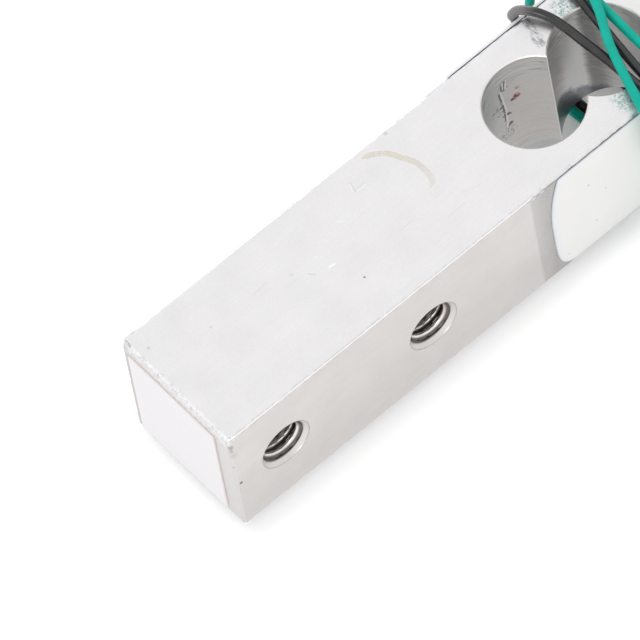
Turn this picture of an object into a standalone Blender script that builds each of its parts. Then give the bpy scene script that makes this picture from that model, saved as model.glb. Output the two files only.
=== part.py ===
"""Miniature bar load cell, 80 mm long, with its leads wound round the middle of the bar.

The origin is at the centre of the bar. +X runs along the bar, the two gauged faces look
towards -Y and +Y, and the double bore that makes the bending section runs along Z.
"""

import math

import bmesh
import bpy
from mathutils import Matrix, Vector

MM = 0.001

# Bar
BAR_LENGTH = 80 * MM
BAR_WIDTH = 12.7 * MM  # between the two gauged faces
BAR_HEIGHT = 12.7 * MM
EDGE_RADIUS = 0.4 * MM

# Double bore through the bar
LOBE_RADIUS = 4.1 * MM
LOBE_SPACING = 6.7 * MM

# Tapped holes: M4 at the -X end and M5 at the +X end, at the drilled diameter
HOLE_FROM_END = 5 * MM
HOLE_PITCH = 15 * MM
M4_DRILL = 3.3 * MM
M5_DRILL = 4.2 * MM
COUNTERSINK_OVER_DRILL = 1.4 * MM

# Strain gauges, bonded over the thinnest walls of the double bore
GLUE = 0.03 * MM
CARRIER_LENGTH = 4.4 * MM
CARRIER_WIDTH = 3.2 * MM
CARRIER_THICKNESS = 0.05 * MM
FOIL_THICKNESS = 0.03 * MM
STRAND_COUNT = 6
STRAND_LENGTH = 2.4 * MM
STRAND_WIDTH = 0.16 * MM
STRAND_PITCH = 0.34 * MM
TAB_LENGTH = 0.8 * MM
TAB_WIDTH = 0.7 * MM
TAB_THICKNESS = 0.06 * MM

# Terminal strip, one on each gauged face
STRIP_FROM_CENTRE = 7 * MM
STRIP_WIDTH = 1.4 * MM
STRIP_LENGTH = 6 * MM
STRIP_THICKNESS = 0.12 * MM
PAD_PITCH = 1.5 * MM
PAD_COUNT = 4
SOLDER_WIDTH = 0.8 * MM
SOLDER_HEIGHT = 0.25 * MM

# Enamelled wires
JUMPER_DIAMETER = 0.14 * MM
LINK_DIAMETER = 0.2 * MM
LINK_PITCH = 0.32 * MM
LINK_FROM_CENTRE = 8.25 * MM

# White silicone over each gauged face
POTTING_PAST_GAUGES = 2.3 * MM
POTTING_FROM_EDGES = 0.1 * MM  # short of the bar's top and bottom faces
POTTING_CROWN = 0.9 * MM
POTTING_SQUARENESS = 6  # exponent of the outline: 2 is an ellipse, more is squarer
POTTING_SLOPE = 1.4  # exponent of the profile: 1 is round, more is lower near the rim
HUMP_CENTRE = 7.6 * MM
HUMP_LENGTH = 4.6 * MM
HUMP_HEIGHT = 8 * MM
FRONT_HUMP_CROWN = 1.5 * MM  # over the ends of the leads
BACK_HUMP_CROWN = 0.9 * MM
POTTING_GAP = 0.05 * MM

# Paper label on the -X end
LABEL_WIDTH = 10.2 * MM
LABEL_HEIGHT = 10.8 * MM
LABEL_THICKNESS = 0.1 * MM
LABEL_FROM_BACK = 0.6 * MM
LABEL_FROM_TOP = 1.5 * MM

# Leads, of stranded wire in a soft jacket
LEAD_DIAMETER = 0.75 * MM
LEAD_GAP = 0.05 * MM
CORE_DIAMETER = 0.32 * MM
CORE_LENGTH = 4 * MM
ROOT_HEIGHT = 0.34 * MM  # of the core at its solder joint, above the gauged face

# Both routes run from the terminal strip, round the bar and out along the table behind it.
# Points are in millimetres: along the bar, across it, and up.
BLACK_ROUTE = (
    (8.33, -6.78, 0.75),
    (9.93, -7.05, 0.75),
    (11.03, -7.05, 0.95),
    (11.98, -7.05, 1.8),
    (12.48, -7.02, 3.2),
    (12.53, -7.12, 5.2),
    (12.53, -6.7, 6.62),
    (12.53, -5.35, 7.12),
    (12.53, -3.2, 6.95),
    (12.53, 0.0, 6.78),
    (12.43, 3.2, 6.95),
    (12.28, 5.35, 7.12),
    (12.08, 6.75, 6.62),
    (11.73, 7.25, 5.2),
    (10.83, 7.5, 3.0),
    (9.33, 7.75, 0.3),
    (7.9, 7.8, -2.6),
    (7.25, 7.92, -4.75),
    (7.05, 7.5, -6.25),
    (6.93, 6.05, -6.8),
    (6.91, 4.3, -6.78),
    (6.7, 0.0, -6.78),
    (6.05, -4.3, -6.78),
    (5.8, -6.0, -6.8),
    (5.62, -7.5, -6.25),
    (5.4, -8.05, -4.8),
    (4.83, -8.0, 0.0),
    (4.23, -7.95, 4.75),
    (4.08, -7.45, 6.2),
    (4.08, -6.1, 6.9),
    (4.1, -4.3, 6.88),
    (4.43, -1.0, 6.78),
    (4.73, 1.5, 6.78),
    (4.98, 3.9, 6.85),
    (5.11, 5.5, 7.0),
    (5.11, 6.95, 6.6),
    (4.98, 7.7, 5.3),
    (4.73, 7.85, 3.5),
    (4.23, 7.9, 0.0),
    (3.63, 7.95, -3.3),
    (3.43, 7.88, -4.85),
    (3.35, 7.42, -6.2),
    (3.25, 6.05, -6.8),
    (3.25, 4.3, -6.78),
    (3.33, 2.5, -6.78),
    (3.38, -2.5, -6.78),
    (3.38, -6.0, -6.8),
    (3.38, -7.5, -6.25),
    (3.33, -8.05, -4.8),
    (3.23, -8.0, 0.0),
    (3.18, -7.95, 4.75),
    (3.18, -7.45, 6.2),
    (3.18, -6.1, 6.9),
    (3.15, -4.3, 6.85),
    (3.01, -1.1, 6.78),
    (2.79, 1.0, 6.78),
    (2.55, 3.3, 6.85),
    (2.22, 4.6, 7.0),
    (1.63, 5.75, 7.15),
    (0.93, 6.75, 6.95),
    (0.55, 7.12, 6.3),
    (0.78, 7.17, 5.3),
    (0.95, 7.43, 3.9),
    (1.03, 7.71, 1.8),
    (1.1, 7.78, 0.0),
    (1.23, 7.9, -3.2),
    (1.73, 8.45, -5.4),
    (3.23, 9.7, -6.65),
    (4.93, 10.75, -6.78),
    (7.63, 11.5, -6.78),
    (12.13, 11.9, -6.78),
    (18.13, 11.2, -6.78),
    (24.13, 11.6, -6.78),
    (30.13, 12.1, -6.78),
    (34.63, 11.6, -6.78),
)
GREEN_ROUTE = (
    (8.33, -6.78, -0.75),
    (9.93, -7.05, -0.75),
    (11.53, -7.05, -0.7),
    (13.03, -7.05, 0.5),
    (13.63, -7.02, 2.8),
    (13.63, -7.12, 5.2),
    (13.63, -6.7, 6.62),
    (13.63, -5.35, 7.12),
    (13.63, -3.2, 6.95),
    (13.53, 0.0, 6.78),
    (13.48, 3.2, 6.95),
    (13.33, 5.35, 7.12),
    (13.13, 6.75, 6.62),
    (12.78, 7.25, 5.2),
    (11.93, 7.5, 3.0),
    (10.53, 7.6, 0.3),
    (9.3, 7.75, -2.6),
    (8.3, 7.95, -4.75),
    (7.88, 7.52, -6.25),
    (7.74, 6.05, -6.8),
    (7.72, 4.3, -6.78),
    (7.6, 0.0, -6.78),
    (7.1, -4.3, -6.78),
    (6.9, -6.0, -6.8),
    (6.8, -7.5, -6.25),
    (6.62, -8.05, -4.8),
    (6.23, -8.15, 0.0),
    (5.88, -7.95, 4.75),
    (5.78, -7.45, 6.2),
    (5.78, -6.1, 6.9),
    (5.78, -4.3, 6.85),
    (5.81, -1.0, 6.78),
    (5.87, 1.5, 6.78),
    (5.93, 3.9, 6.8),
    (5.98, 5.6, 6.95),
    (5.98, 7.3, 6.85),
    (5.78, 8.8, 5.7),
    (5.28, 9.8, 3.6),
    (4.48, 10.3, 0.6),
    (3.78, 10.0, -2.4),
    (3.01, 9.0, -4.85),
    (2.6, 7.5, -6.45),
    (2.43, 5.8, -6.8),
    (2.43, 4.2, -6.78),
    (2.53, 2.5, -6.78),
    (2.58, -2.5, -6.78),
    (2.53, -6.0, -6.8),
    (2.48, -7.5, -6.25),
    (2.38, -8.05, -4.8),
    (2.08, -8.0, 0.0),
    (1.78, -8.0, 4.9),
    (1.73, -7.6, 6.6),
    (2.03, -6.3, 7.5),
    (2.78, -3.7, 7.66),
    (3.83, -0.7, 7.66),
    (5.03, 1.7, 7.66),
    (5.78, 3.6, 7.75),
    (6.53, 5.4, 7.75),
    (7.18, 7.1, 7.3),
    (7.53, 8.4, 6.1),
    (7.68, 9.0, 3.8),
    (7.73, 9.0, 0.0),
    (7.88, 9.05, -3.6),
    (8.63, 9.3, -5.9),
    (10.73, 9.8, -6.72),
    (14.13, 10.2, -6.78),
    (19.13, 9.4, -6.78),
    (24.63, 9.7, -6.78),
    (30.13, 9.0, -6.78),
    (35.13, 9.4, -6.78),
)
SHARP_TURN = 0.3  # radians: a span of a route that turns more gets a point at its middle

FACE = BAR_WIDTH / 2
TOP = BAR_HEIGHT / 2
END = BAR_LENGTH / 2
GAUGE_CENTRE = LOBE_SPACING / 2
CUT = 1 * MM  # how far a cutter reaches past the face that it starts from
LOBE_SIDES = 72
HOLE_SIDES = 32


def clear_scene():
    for obj in list(bpy.data.objects):
        bpy.data.objects.remove(obj, do_unlink=True)
    for collection in list(bpy.data.collections):
        bpy.data.collections.remove(collection)


def new_collection(name):
    collection = bpy.data.collections.new(name)
    bpy.context.scene.collection.children.link(collection)
    return collection


def material(name, colour, roughness, metallic=0.0):
    made = bpy.data.materials.new(name)
    made.use_nodes = True
    shader = made.node_tree.nodes["Principled BSDF"]
    shader.inputs["Base Color"].default_value = (*colour, 1)
    shader.inputs["Roughness"].default_value = roughness
    shader.inputs["Metallic"].default_value = metallic
    made.diffuse_color = (*colour, 1)
    return made


def add_object(name, data, collection, finish=None):
    obj = bpy.data.objects.new(name, data)
    collection.objects.link(obj)
    if finish:
        data.materials.append(finish)
    return obj


def mesh_object(name, bm, collection, finish=None, smooth=False):
    bmesh.ops.recalc_face_normals(bm, faces=bm.faces[:])
    mesh = bpy.data.meshes.new(name)
    bm.to_mesh(mesh)
    bm.free()
    if smooth:
        mesh.shade_smooth()
        mesh.set_sharp_from_angle(angle=math.radians(40))
    return add_object(name, mesh, collection, finish)


def box(name, low, high, collection, finish=None):
    bm = bmesh.new()
    bmesh.ops.create_cube(bm, size=1)
    low, high = Vector(low), Vector(high)
    bmesh.ops.scale(bm, vec=high - low, verts=bm.verts)
    bmesh.ops.translate(bm, vec=(low + high) / 2, verts=bm.verts)
    return mesh_object(name, bm, collection, finish)


def as_cutter(obj):
    obj.hide_render = True
    obj.display_type = "WIRE"
    return obj


def boolean(obj, other, operation="DIFFERENCE"):
    modifier = obj.modifiers.new(other.name, "BOOLEAN")
    modifier.operation = operation
    modifier.object = other


def lobe_cutter(name, along):
    """A cylinder that passes right through the bar along Z."""
    bm = bmesh.new()
    bmesh.ops.create_cone(
        bm,
        cap_ends=True,
        segments=LOBE_SIDES,
        radius1=LOBE_RADIUS,
        radius2=LOBE_RADIUS,
        depth=2 * (TOP + CUT),
    )
    bmesh.ops.translate(bm, vec=(along, 0, 0), verts=bm.verts)
    return as_cutter(mesh_object(name, bm, cutters))


def turned_cutter(name, profile, place):
    """A turned solid about Y, from (radius, height) points that run down its outer side."""
    mesh = bpy.data.meshes.new(name)
    points = [(radius, 0, height) for radius, height in profile]
    mesh.from_pydata(points, [(i, i + 1) for i in range(len(points) - 1)], [])
    cutter = as_cutter(add_object(name, mesh, cutters))
    cutter.matrix_world = Matrix.Translation(place) @ Matrix.Rotation(math.radians(90), 4, "X")
    turn = cutter.modifiers.new("turn", "SCREW")
    turn.steps = HOLE_SIDES
    turn.render_steps = HOLE_SIDES
    turn.use_merge_vertices = True
    turn.merge_threshold = 0.00005
    return cutter


def tapped_hole(bar, name, along, drill):
    """A through hole across the bar, with a countersink at each mouth."""
    radius = drill / 2
    sink = COUNTERSINK_OVER_DRILL / 2
    outside = FACE + CUT
    profile = [
        (0, outside),
        (radius + sink + CUT, outside),
        (radius, FACE - sink),
        (radius, sink - FACE),
        (radius + sink + CUT, -outside),
        (0, -outside),
    ]
    boolean(bar, turned_cutter(name, profile, (along, 0, 0)))


def make_bar():
    bar = box("spring_element", (-END, -FACE, -TOP), (END, FACE, TOP), parts, aluminium)
    edges = bar.modifiers.new("edges", "BEVEL")
    edges.width = EDGE_RADIUS
    edges.segments = 3
    for side, label in ((-1, "left"), (1, "right")):
        boolean(bar, lobe_cutter(f"lobe_{label}", side * LOBE_SPACING / 2))
    for side, drill, size in ((-1, M4_DRILL, "m4"), (1, M5_DRILL, "m5")):
        for index in range(2):
            along = side * (END - HOLE_FROM_END - index * HOLE_PITCH)
            tapped_hole(bar, f"{size}_hole_{index + 1}", along, drill)
    return bar


def on_face(side, points):
    """Points given as (along the bar, up, away from the gauged face), on the face of that side."""
    return [Vector((x, side * (FACE + off), z)) for x, z, off in points]


def face_box(name, side, centre, size, bottom, thickness, collection, finish=None):
    """A flat piece that lies on a gauged face, its underside at that height above the face."""
    (x, z), (length, height) = centre, size
    near, far = side * (FACE + bottom), side * (FACE + bottom + thickness)
    low = (x - length / 2, min(near, far), z - height / 2)
    high = (x + length / 2, max(near, far), z + height / 2)
    return box(name, low, high, collection, finish)


def ribbon_outline(path, width):
    """The outline of a ribbon along a path of right-angled turns."""
    left, right = [], []
    for index, point in enumerate(path):
        before = path[index] - path[index - 1] if index else path[1] - path[0]
        after = path[index + 1] - path[index] if index + 1 < len(path) else before
        across = [Vector((-step.y, step.x)).normalized() * width / 2 for step in (before, after)]
        shift = across[0] if before.normalized() == after.normalized() else across[0] + across[1]
        left.append(point + shift)
        right.append(point - shift)
    return left + right[::-1]


def grid_path():
    """Back and forth strands of the foil grid, its two ends at +X, where the tabs are."""
    far = STRAND_LENGTH / 2
    path = []
    for index in range(STRAND_COUNT):
        across = (index - (STRAND_COUNT - 1) / 2) * STRAND_PITCH
        ends = (far, -far) if index % 2 else (-far, far)
        first, last = ends
        if index == 0:
            first -= TAB_LENGTH / 2
        if index == STRAND_COUNT - 1:
            last -= TAB_LENGTH / 2
        path += [Vector((-first, across)), Vector((-last, across))]
    return path


def filled_outline(name, outline, thickness, collection, finish):
    curve = bpy.data.curves.new(name, "CURVE")
    curve.dimensions = "2D"
    curve.fill_mode = "BOTH"
    curve.extrude = thickness / 2
    spline = curve.splines.new("POLY")
    spline.points.add(len(outline) - 1)
    for point, place in zip(spline.points, outline):
        point.co = (*place, 0, 1)
    spline.use_cyclic_u = True
    return add_object(name, curve, collection, finish)


def curve_to_mesh(obj, merge):
    """Swaps a curve for its evaluated mesh, with the loose caps welded."""
    graph = bpy.context.evaluated_depsgraph_get()
    mesh = bpy.data.meshes.new_from_object(obj.evaluated_get(graph))
    bm = bmesh.new()
    bm.from_mesh(mesh)
    bmesh.ops.remove_doubles(bm, verts=bm.verts, dist=merge)
    bmesh.ops.recalc_face_normals(bm, faces=bm.faces[:])
    bm.to_mesh(mesh)
    bm.free()
    name, place, collection = obj.name, obj.matrix_world.copy(), obj.users_collection[0]
    bpy.data.objects.remove(obj, do_unlink=True)
    made = add_object(name, mesh, collection)
    made.matrix_world = place
    return made


def tab_places(along):
    """Centres of the two solder tabs of a gauge, as (along, up)."""
    x = along + STRAND_LENGTH / 2 + TAB_LENGTH / 2
    first = (STRAND_COUNT - 1) / 2 * STRAND_PITCH
    reach = first - STRAND_WIDTH / 2 + TAB_WIDTH / 2
    return [(x, -reach), (x, reach)]


def make_gauge(side, face_name, along, label):
    """One strain gauge: a polyimide carrier, and on it the foil grid with its two tabs."""
    face_box(
        f"gauge_carrier_{face_name}_{label}",
        side,
        (along + TAB_LENGTH / 4, 0),
        (CARRIER_LENGTH, CARRIER_WIDTH),
        GLUE,
        CARRIER_THICKNESS,
        parts,
        polyimide,
    )
    bottom = GLUE + CARRIER_THICKNESS + GLUE
    outline = ribbon_outline(grid_path(), STRAND_WIDTH)
    grid = filled_outline(
        f"gauge_grid_{face_name}_{label}", outline, FOIL_THICKNESS, parts, foil
    )
    lift = side * (FACE + bottom + FOIL_THICKNESS / 2)
    grid.matrix_world = Matrix.Translation((along, lift, 0)) @ Matrix.Rotation(
        math.radians(90), 4, "X"
    )
    bpy.context.view_layer.update()
    grid = curve_to_mesh(grid, merge=FOIL_THICKNESS / 100)
    for index, place in enumerate(tab_places(along)):
        tab = face_box(
            f"{grid.name}_tab_{index + 1}",
            side,
            place,
            (TAB_LENGTH, TAB_WIDTH),
            bottom - GLUE / 6,
            TAB_THICKNESS,
            cutters,
        )
        boolean(grid, as_cutter(tab), "UNION")


def wire(name, points, diameter, collection, finish):
    """A round wire through these points, with flat ends."""
    curve = bpy.data.curves.new(name, "CURVE")
    curve.dimensions = "3D"
    curve.bevel_depth = diameter / 2
    curve.bevel_resolution = 2
    curve.use_fill_caps = True
    spline = curve.splines.new("POLY")
    spline.points.add(len(points) - 1)
    for point, place in zip(spline.points, points):
        point.co = (*place, 1)
    return add_object(name, curve, collection, finish)


def pad_heights():
    """How far up each solder pad of a terminal strip is."""
    return [(index - (PAD_COUNT - 1) / 2) * PAD_PITCH for index in range(PAD_COUNT)]


def wire_height():
    """Height of a jumper's centre above the gauged face, clear of the tabs."""
    return GLUE + CARRIER_THICKNESS + GLUE + TAB_THICKNESS + GLUE + JUMPER_DIAMETER / 2


def make_jumpers(side, face_name):
    """Wires from the tabs of both gauges to the terminal strip on the same face."""
    pads = pad_heights()
    height = wire_height()
    joint = STRIP_FROM_CENTRE - SOLDER_WIDTH / 2 - GLUE
    lane = CARRIER_WIDTH / 2 + 2 * JUMPER_DIAMETER
    for gauge, along in (("left", -GAUGE_CENTRE), ("right", GAUGE_CENTRE)):
        for index, (x, z) in enumerate(tab_places(along)):
            up = 1 if z > 0 else -1
            inner = gauge == "right"
            pad = pads[(1, 2)[index]] if inner else pads[(0, 3)[index]]
            if inner:
                plan = [(x, z), (x + TAB_LENGTH, (z + pad) / 2), (joint, pad)]
            else:
                past = GAUGE_CENTRE + CARRIER_LENGTH / 2
                plan = [
                    (x, z),
                    (x + TAB_LENGTH, up * lane),
                    (past, up * lane),
                    (joint, pad),
                ]
            points = on_face(side, [(px, pz, height) for px, pz in plan])
            wire(f"jumper_{face_name}_{gauge}_{index + 1}", points, JUMPER_DIAMETER, parts, enamel)


def make_terminals(side, face_name):
    """The terminal strip of a face, and the solder on its pads."""
    face_box(
        f"terminal_strip_{face_name}",
        side,
        (STRIP_FROM_CENTRE, 0),
        (STRIP_WIDTH, STRIP_LENGTH),
        GLUE,
        STRIP_THICKNESS,
        parts,
        laminate,
    )
    base = GLUE + STRIP_THICKNESS + GLUE
    for index, height in enumerate(pad_heights()):
        bm = bmesh.new()
        bmesh.ops.create_uvsphere(bm, u_segments=14, v_segments=8, radius=0.5)
        size = Vector((SOLDER_WIDTH, SOLDER_HEIGHT, SOLDER_WIDTH))
        bmesh.ops.rotate(bm, matrix=Matrix.Rotation(math.radians(90), 3, "X"), verts=bm.verts)
        bmesh.ops.scale(bm, vec=size, verts=bm.verts)
        place = (STRIP_FROM_CENTRE, side * (FACE + base + SOLDER_HEIGHT / 2), height)
        bmesh.ops.translate(bm, vec=place, verts=bm.verts)
        mesh_object(f"solder_{face_name}_{index + 1}", bm, parts, solder, smooth=True)


def make_links():
    """Wires that pass under the bar and join the terminal strips of the two faces."""
    off = LINK_DIAMETER / 2 + GLUE
    start = -STRIP_LENGTH / 2 + LINK_DIAMETER
    out, down = FACE + off, -TOP - off
    bend = EDGE_RADIUS + off
    steps = 6
    for index in range(PAD_COUNT):
        x = LINK_FROM_CENTRE + index * LINK_PITCH
        half = [Vector((x, out, start))]
        for step in range(steps + 1):
            turn = math.radians(90) * step / steps
            across = out - bend * (1 - math.cos(turn))
            up = down + bend * (1 - math.sin(turn))
            half.append(Vector((x, across, up)))
        points = half + [Vector((p.x, -p.y, p.z)) for p in reversed(half)]
        wire(f"link_wire_{index + 1}", points, LINK_DIAMETER, parts, enamel)


def dome(name, side, centre, size, shape, bottom, collection, finish=None):
    """A low dome on a gauged face: its length, height and crown, its squareness and slope."""
    length, height, crown = size
    squareness, slope = shape
    bm = bmesh.new()
    bmesh.ops.create_uvsphere(bm, u_segments=48, v_segments=16, radius=1)
    bmesh.ops.bisect_plane(
        bm,
        geom=bm.verts[:] + bm.edges[:] + bm.faces[:],
        plane_co=(0, 0, 0),
        plane_no=(0, 0, 1),
        clear_inner=True,
    )
    bmesh.ops.holes_fill(bm, edges=bm.edges[:], sides=0)
    for vert in bm.verts:
        x, z, up = vert.co
        round_size = math.hypot(x, z)
        square_size = (abs(x) ** squareness + abs(z) ** squareness) ** (1 / squareness)
        grow = round_size / square_size if square_size > 0 else 1
        vert.co = (
            centre + x * grow * length / 2,
            side * (FACE + bottom + max(0, up) ** slope * crown),
            z * grow * height / 2,
        )
    return mesh_object(name, bm, collection, finish, smooth=True)


def make_potting(side, face_name, with_leads):
    """Silicone over the gauges of a face, with a hump over the terminal strip."""
    potting = dome(
        f"potting_{face_name}",
        side,
        0,
        (
            2 * (GAUGE_CENTRE + CARRIER_LENGTH / 2 + POTTING_PAST_GAUGES),
            BAR_HEIGHT - 2 * POTTING_FROM_EDGES,
            POTTING_CROWN,
        ),
        (POTTING_SQUARENESS, POTTING_SLOPE),
        GLUE,
        parts,
        silicone,
    )
    hump = dome(
        f"potting_hump_{face_name}",
        side,
        HUMP_CENTRE,
        (HUMP_LENGTH, HUMP_HEIGHT, FRONT_HUMP_CROWN if with_leads else BACK_HUMP_CROWN),
        (2, 1),
        GLUE * 2 / 3,
        cutters,
    )
    boolean(potting, as_cutter(hump), "UNION")
    lane = CARRIER_WIDTH / 2 + 3 * JUMPER_DIAMETER
    wires_top = wire_height() + JUMPER_DIAMETER / 2 + POTTING_GAP
    strip_end = STRIP_FROM_CENTRE + STRIP_WIDTH / 2
    pockets = [
        (
            "gauges",
            (-GAUGE_CENTRE - CARRIER_LENGTH / 2, strip_end),
            (-lane, lane),
            wires_top,
        ),
        (
            "strip",
            (GAUGE_CENTRE + CARRIER_LENGTH / 2 - JUMPER_DIAMETER, strip_end + POTTING_GAP),
            (-STRIP_LENGTH / 2 - POTTING_GAP, STRIP_LENGTH / 2 + POTTING_GAP),
            wires_top,
        ),
        (
            "solder",
            (STRIP_FROM_CENTRE - SOLDER_WIDTH / 2, STRIP_FROM_CENTRE + SOLDER_WIDTH / 2),
            (pad_heights()[0] - SOLDER_WIDTH / 2, pad_heights()[-1] + SOLDER_WIDTH / 2),
            2 * GLUE + STRIP_THICKNESS + SOLDER_HEIGHT + POTTING_GAP,
        ),
        (
            "links",
            (
                LINK_FROM_CENTRE - LINK_DIAMETER,
                LINK_FROM_CENTRE + (PAD_COUNT - 1) * LINK_PITCH + LINK_DIAMETER,
            ),
            (-HUMP_HEIGHT / 2 - CUT, -STRIP_LENGTH / 2 + 2 * LINK_DIAMETER),
            LINK_DIAMETER + GLUE + POTTING_GAP,
        ),
    ]
    if with_leads:
        for label, height in (("black", PAD_PITCH / 2), ("green", -PAD_PITCH / 2)):
            half = LEAD_DIAMETER / 2 + POTTING_GAP
            reach = HUMP_CENTRE + HUMP_LENGTH / 2 + CUT
            pockets.append(
                (
                    f"{label}_lead",
                    (STRIP_FROM_CENTRE + SOLDER_WIDTH / 2, reach),
                    (height - half, height + half),
                    LEAD_DIAMETER + LEAD_GAP + 6 * POTTING_GAP,
                )
            )
    for label, (x_low, x_high), (z_low, z_high), depth in pockets:
        near, far = sorted((side * (FACE - CUT), side * (FACE + depth)))
        cutter = box(
            f"pocket_{face_name}_{label}", (x_low, near, z_low), (x_high, far, z_high), cutters
        )
        boolean(potting, as_cutter(cutter))


def make_label():
    low = (-END - GLUE - LABEL_THICKNESS, FACE - LABEL_FROM_BACK - LABEL_WIDTH, 0)
    high = (-END - GLUE, FACE - LABEL_FROM_BACK, 0)
    top = TOP - LABEL_FROM_TOP
    box("end_label", (*low[:2], top - LABEL_HEIGHT), (*high[:2], top), parts, paper)


def smooth_span(points, index):
    """A function of 0 to 1 along the smooth curve between two points of a route."""
    before = points[index - 1] if index else 2 * points[0] - points[1]
    first, second = points[index], points[index + 1]
    after = points[index + 2] if index + 2 < len(points) else 2 * second - first
    knots = [0.0]
    for start, end in ((before, first), (first, second), (second, after)):
        knots.append(knots[-1] + math.sqrt((end - start).length))

    def blend(a, b, low, high, at):
        return a * ((high - at) / (high - low)) + b * ((at - low) / (high - low))

    def place(share):
        at = knots[1] + share * (knots[2] - knots[1])
        a1 = blend(before, first, knots[0], knots[1], at)
        a2 = blend(first, second, knots[1], knots[2], at)
        a3 = blend(second, after, knots[2], knots[3], at)
        b1 = blend(a1, a2, knots[0], knots[2], at)
        b2 = blend(a2, a3, knots[1], knots[3], at)
        return blend(b1, b2, knots[1], knots[2], at)

    return place


def lead_points(route):
    """Points of the tube: the route's own, and the middle of each span that turns sharply."""
    points = [Vector(place) * MM for place in route]
    small = 0.05
    made = []
    for index in range(len(points) - 1):
        place = smooth_span(points, index)
        leaving = place(small) - place(0)
        arriving = place(1) - place(1 - small)
        made.append(points[index])
        if leaving.angle(arriving) > SHARP_TURN:
            made.append(place(0.5))
    return made + [points[-1]]


def make_lead(colour_name, route, finish):
    """One lead, with the bare core past each end of its jacket."""
    points = lead_points(route)
    wire(f"{colour_name}_lead", points, LEAD_DIAMETER, parts, finish)
    ahead = (points[-1] - points[-2]).normalized()
    start = points[-1] + ahead * LEAD_GAP
    tip = [start, start + ahead * CORE_LENGTH]
    wire(f"{colour_name}_lead_tip", tip, CORE_DIAMETER, parts, tinned)
    joint = Vector((STRIP_FROM_CENTRE + SOLDER_WIDTH / 2 + GLUE, -FACE - ROOT_HEIGHT, points[0].z))
    root = [joint, points[0] - Vector((LEAD_GAP, 0, 0))]
    wire(f"{colour_name}_lead_root", root, CORE_DIAMETER, parts, tinned)


clear_scene()
parts = new_collection("miniature_load_cell")
cutters = new_collection("cutters")

aluminium = material("bare_aluminium", (0.74, 0.73, 0.74), 0.38, 1.0)
polyimide = material("amber_polyimide", (0.55, 0.26, 0.04), 0.4)
foil = material("constantan_foil", (0.66, 0.56, 0.44), 0.35, 1.0)
laminate = material("terminal_laminate", (0.12, 0.3, 0.16), 0.5)
solder = material("bright_solder", (0.72, 0.72, 0.74), 0.25, 1.0)
enamel = material("enamelled_copper", (0.5, 0.16, 0.05), 0.35, 0.6)
silicone = material("white_silicone", (0.85, 0.85, 0.84), 0.45)
paper = material("white_paper", (0.88, 0.87, 0.88), 0.8)
black_jacket = material("black_jacket", (0.03, 0.027, 0.029), 0.45)
green_jacket = material("green_jacket", (0.007, 0.45, 0.33), 0.4)
tinned = material("tinned_copper", (0.7, 0.7, 0.7), 0.3, 1.0)

make_bar()
for gauged_side, gauged_face in ((-1, "front"), (1, "back")):
    make_gauge(gauged_side, gauged_face, -GAUGE_CENTRE, "left")
    make_gauge(gauged_side, gauged_face, GAUGE_CENTRE, "right")
    make_terminals(gauged_side, gauged_face)
    make_jumpers(gauged_side, gauged_face)
    make_potting(gauged_side, gauged_face, with_leads=gauged_side < 0)
make_links()
make_label()
make_lead("black", BLACK_ROUTE, black_jacket)
make_lead("green", GREEN_ROUTE, green_jacket)
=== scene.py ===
# %% [markdown]
# # A miniature bar load cell
#
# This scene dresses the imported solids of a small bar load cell. The bar is bare aluminium,
# with a double bore at its middle and tapped holes near its ends. White silicone covers the
# strain gauges, and two thin leads are wound round the bar.
#
# The solids are loaded first, and their shapes are never changed. A piece that only needs a
# finish keeps its solid, and a finer shape is a new mesh that stands in the solid's place.
# Sizes are in metres, and names that end in MM hold millimetres.

import math
import random

import bmesh
import bpy
from mathutils import Matrix, Vector, noise


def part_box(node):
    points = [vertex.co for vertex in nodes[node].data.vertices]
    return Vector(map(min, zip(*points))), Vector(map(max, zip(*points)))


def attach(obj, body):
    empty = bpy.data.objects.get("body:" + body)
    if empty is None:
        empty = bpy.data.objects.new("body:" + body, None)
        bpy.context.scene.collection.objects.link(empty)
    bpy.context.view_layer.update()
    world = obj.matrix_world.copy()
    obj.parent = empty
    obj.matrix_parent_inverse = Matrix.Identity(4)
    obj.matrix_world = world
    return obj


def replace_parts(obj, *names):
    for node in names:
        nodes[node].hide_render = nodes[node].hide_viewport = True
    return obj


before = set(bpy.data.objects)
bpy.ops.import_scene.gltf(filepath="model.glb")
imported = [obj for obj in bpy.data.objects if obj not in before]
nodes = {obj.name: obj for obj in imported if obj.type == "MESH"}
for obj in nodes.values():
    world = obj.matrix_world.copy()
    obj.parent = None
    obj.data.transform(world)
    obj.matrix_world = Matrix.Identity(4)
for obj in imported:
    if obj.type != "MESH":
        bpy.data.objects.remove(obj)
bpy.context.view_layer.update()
print(len(nodes), "packed solids")

# %% [markdown]
# ## Sizes
#
# On the real cell these are drawing sizes: a bar 80 mm long and 12.7 mm square, two tapped
# holes near each end, and two round lobes that meet in the middle. They could be measured
# from the solids' boxes, but a named value says what it is, and the meshes below share it.

# %% Sizes
MM = 0.001
BAR_LENGTH = 80 * MM
BAR_WIDTH = 12.7 * MM
BAR_HEIGHT = 12.7 * MM
EDGE_RADIUS = 0.28 * MM  # a little sharper than in the solids
LOBE_RADIUS = 4.1 * MM
LOBE_SPACING = 6.7 * MM
HOLE_FROM_END = 5 * MM
HOLE_PITCH = 15 * MM
LEAD_DIAMETER = 0.75 * MM
FACE = BAR_WIDTH / 2
TOP = BAR_HEIGHT / 2
END = BAR_LENGTH / 2
FACE_MM, TOP_MM, END_MM = 6.35, 6.35, 40.0  # the same three for patterns and dents
print("the bar is", round(BAR_LENGTH / MM, 1), "mm long")

# %% [markdown]
# ## Camera
#
# The photograph looks down on the labelled end from in front, rolled a little, and shows
# almost no perspective. The camera could be placed by hand in the viewport. Here it follows
# from three angles, the point of the top face that it aims at, and a distance, because those
# can be fitted to the bar's edges and holes one by one. A long lens from far away keeps the
# perspective small, and it isn't longer still so that other views keep the bar in range.

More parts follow.
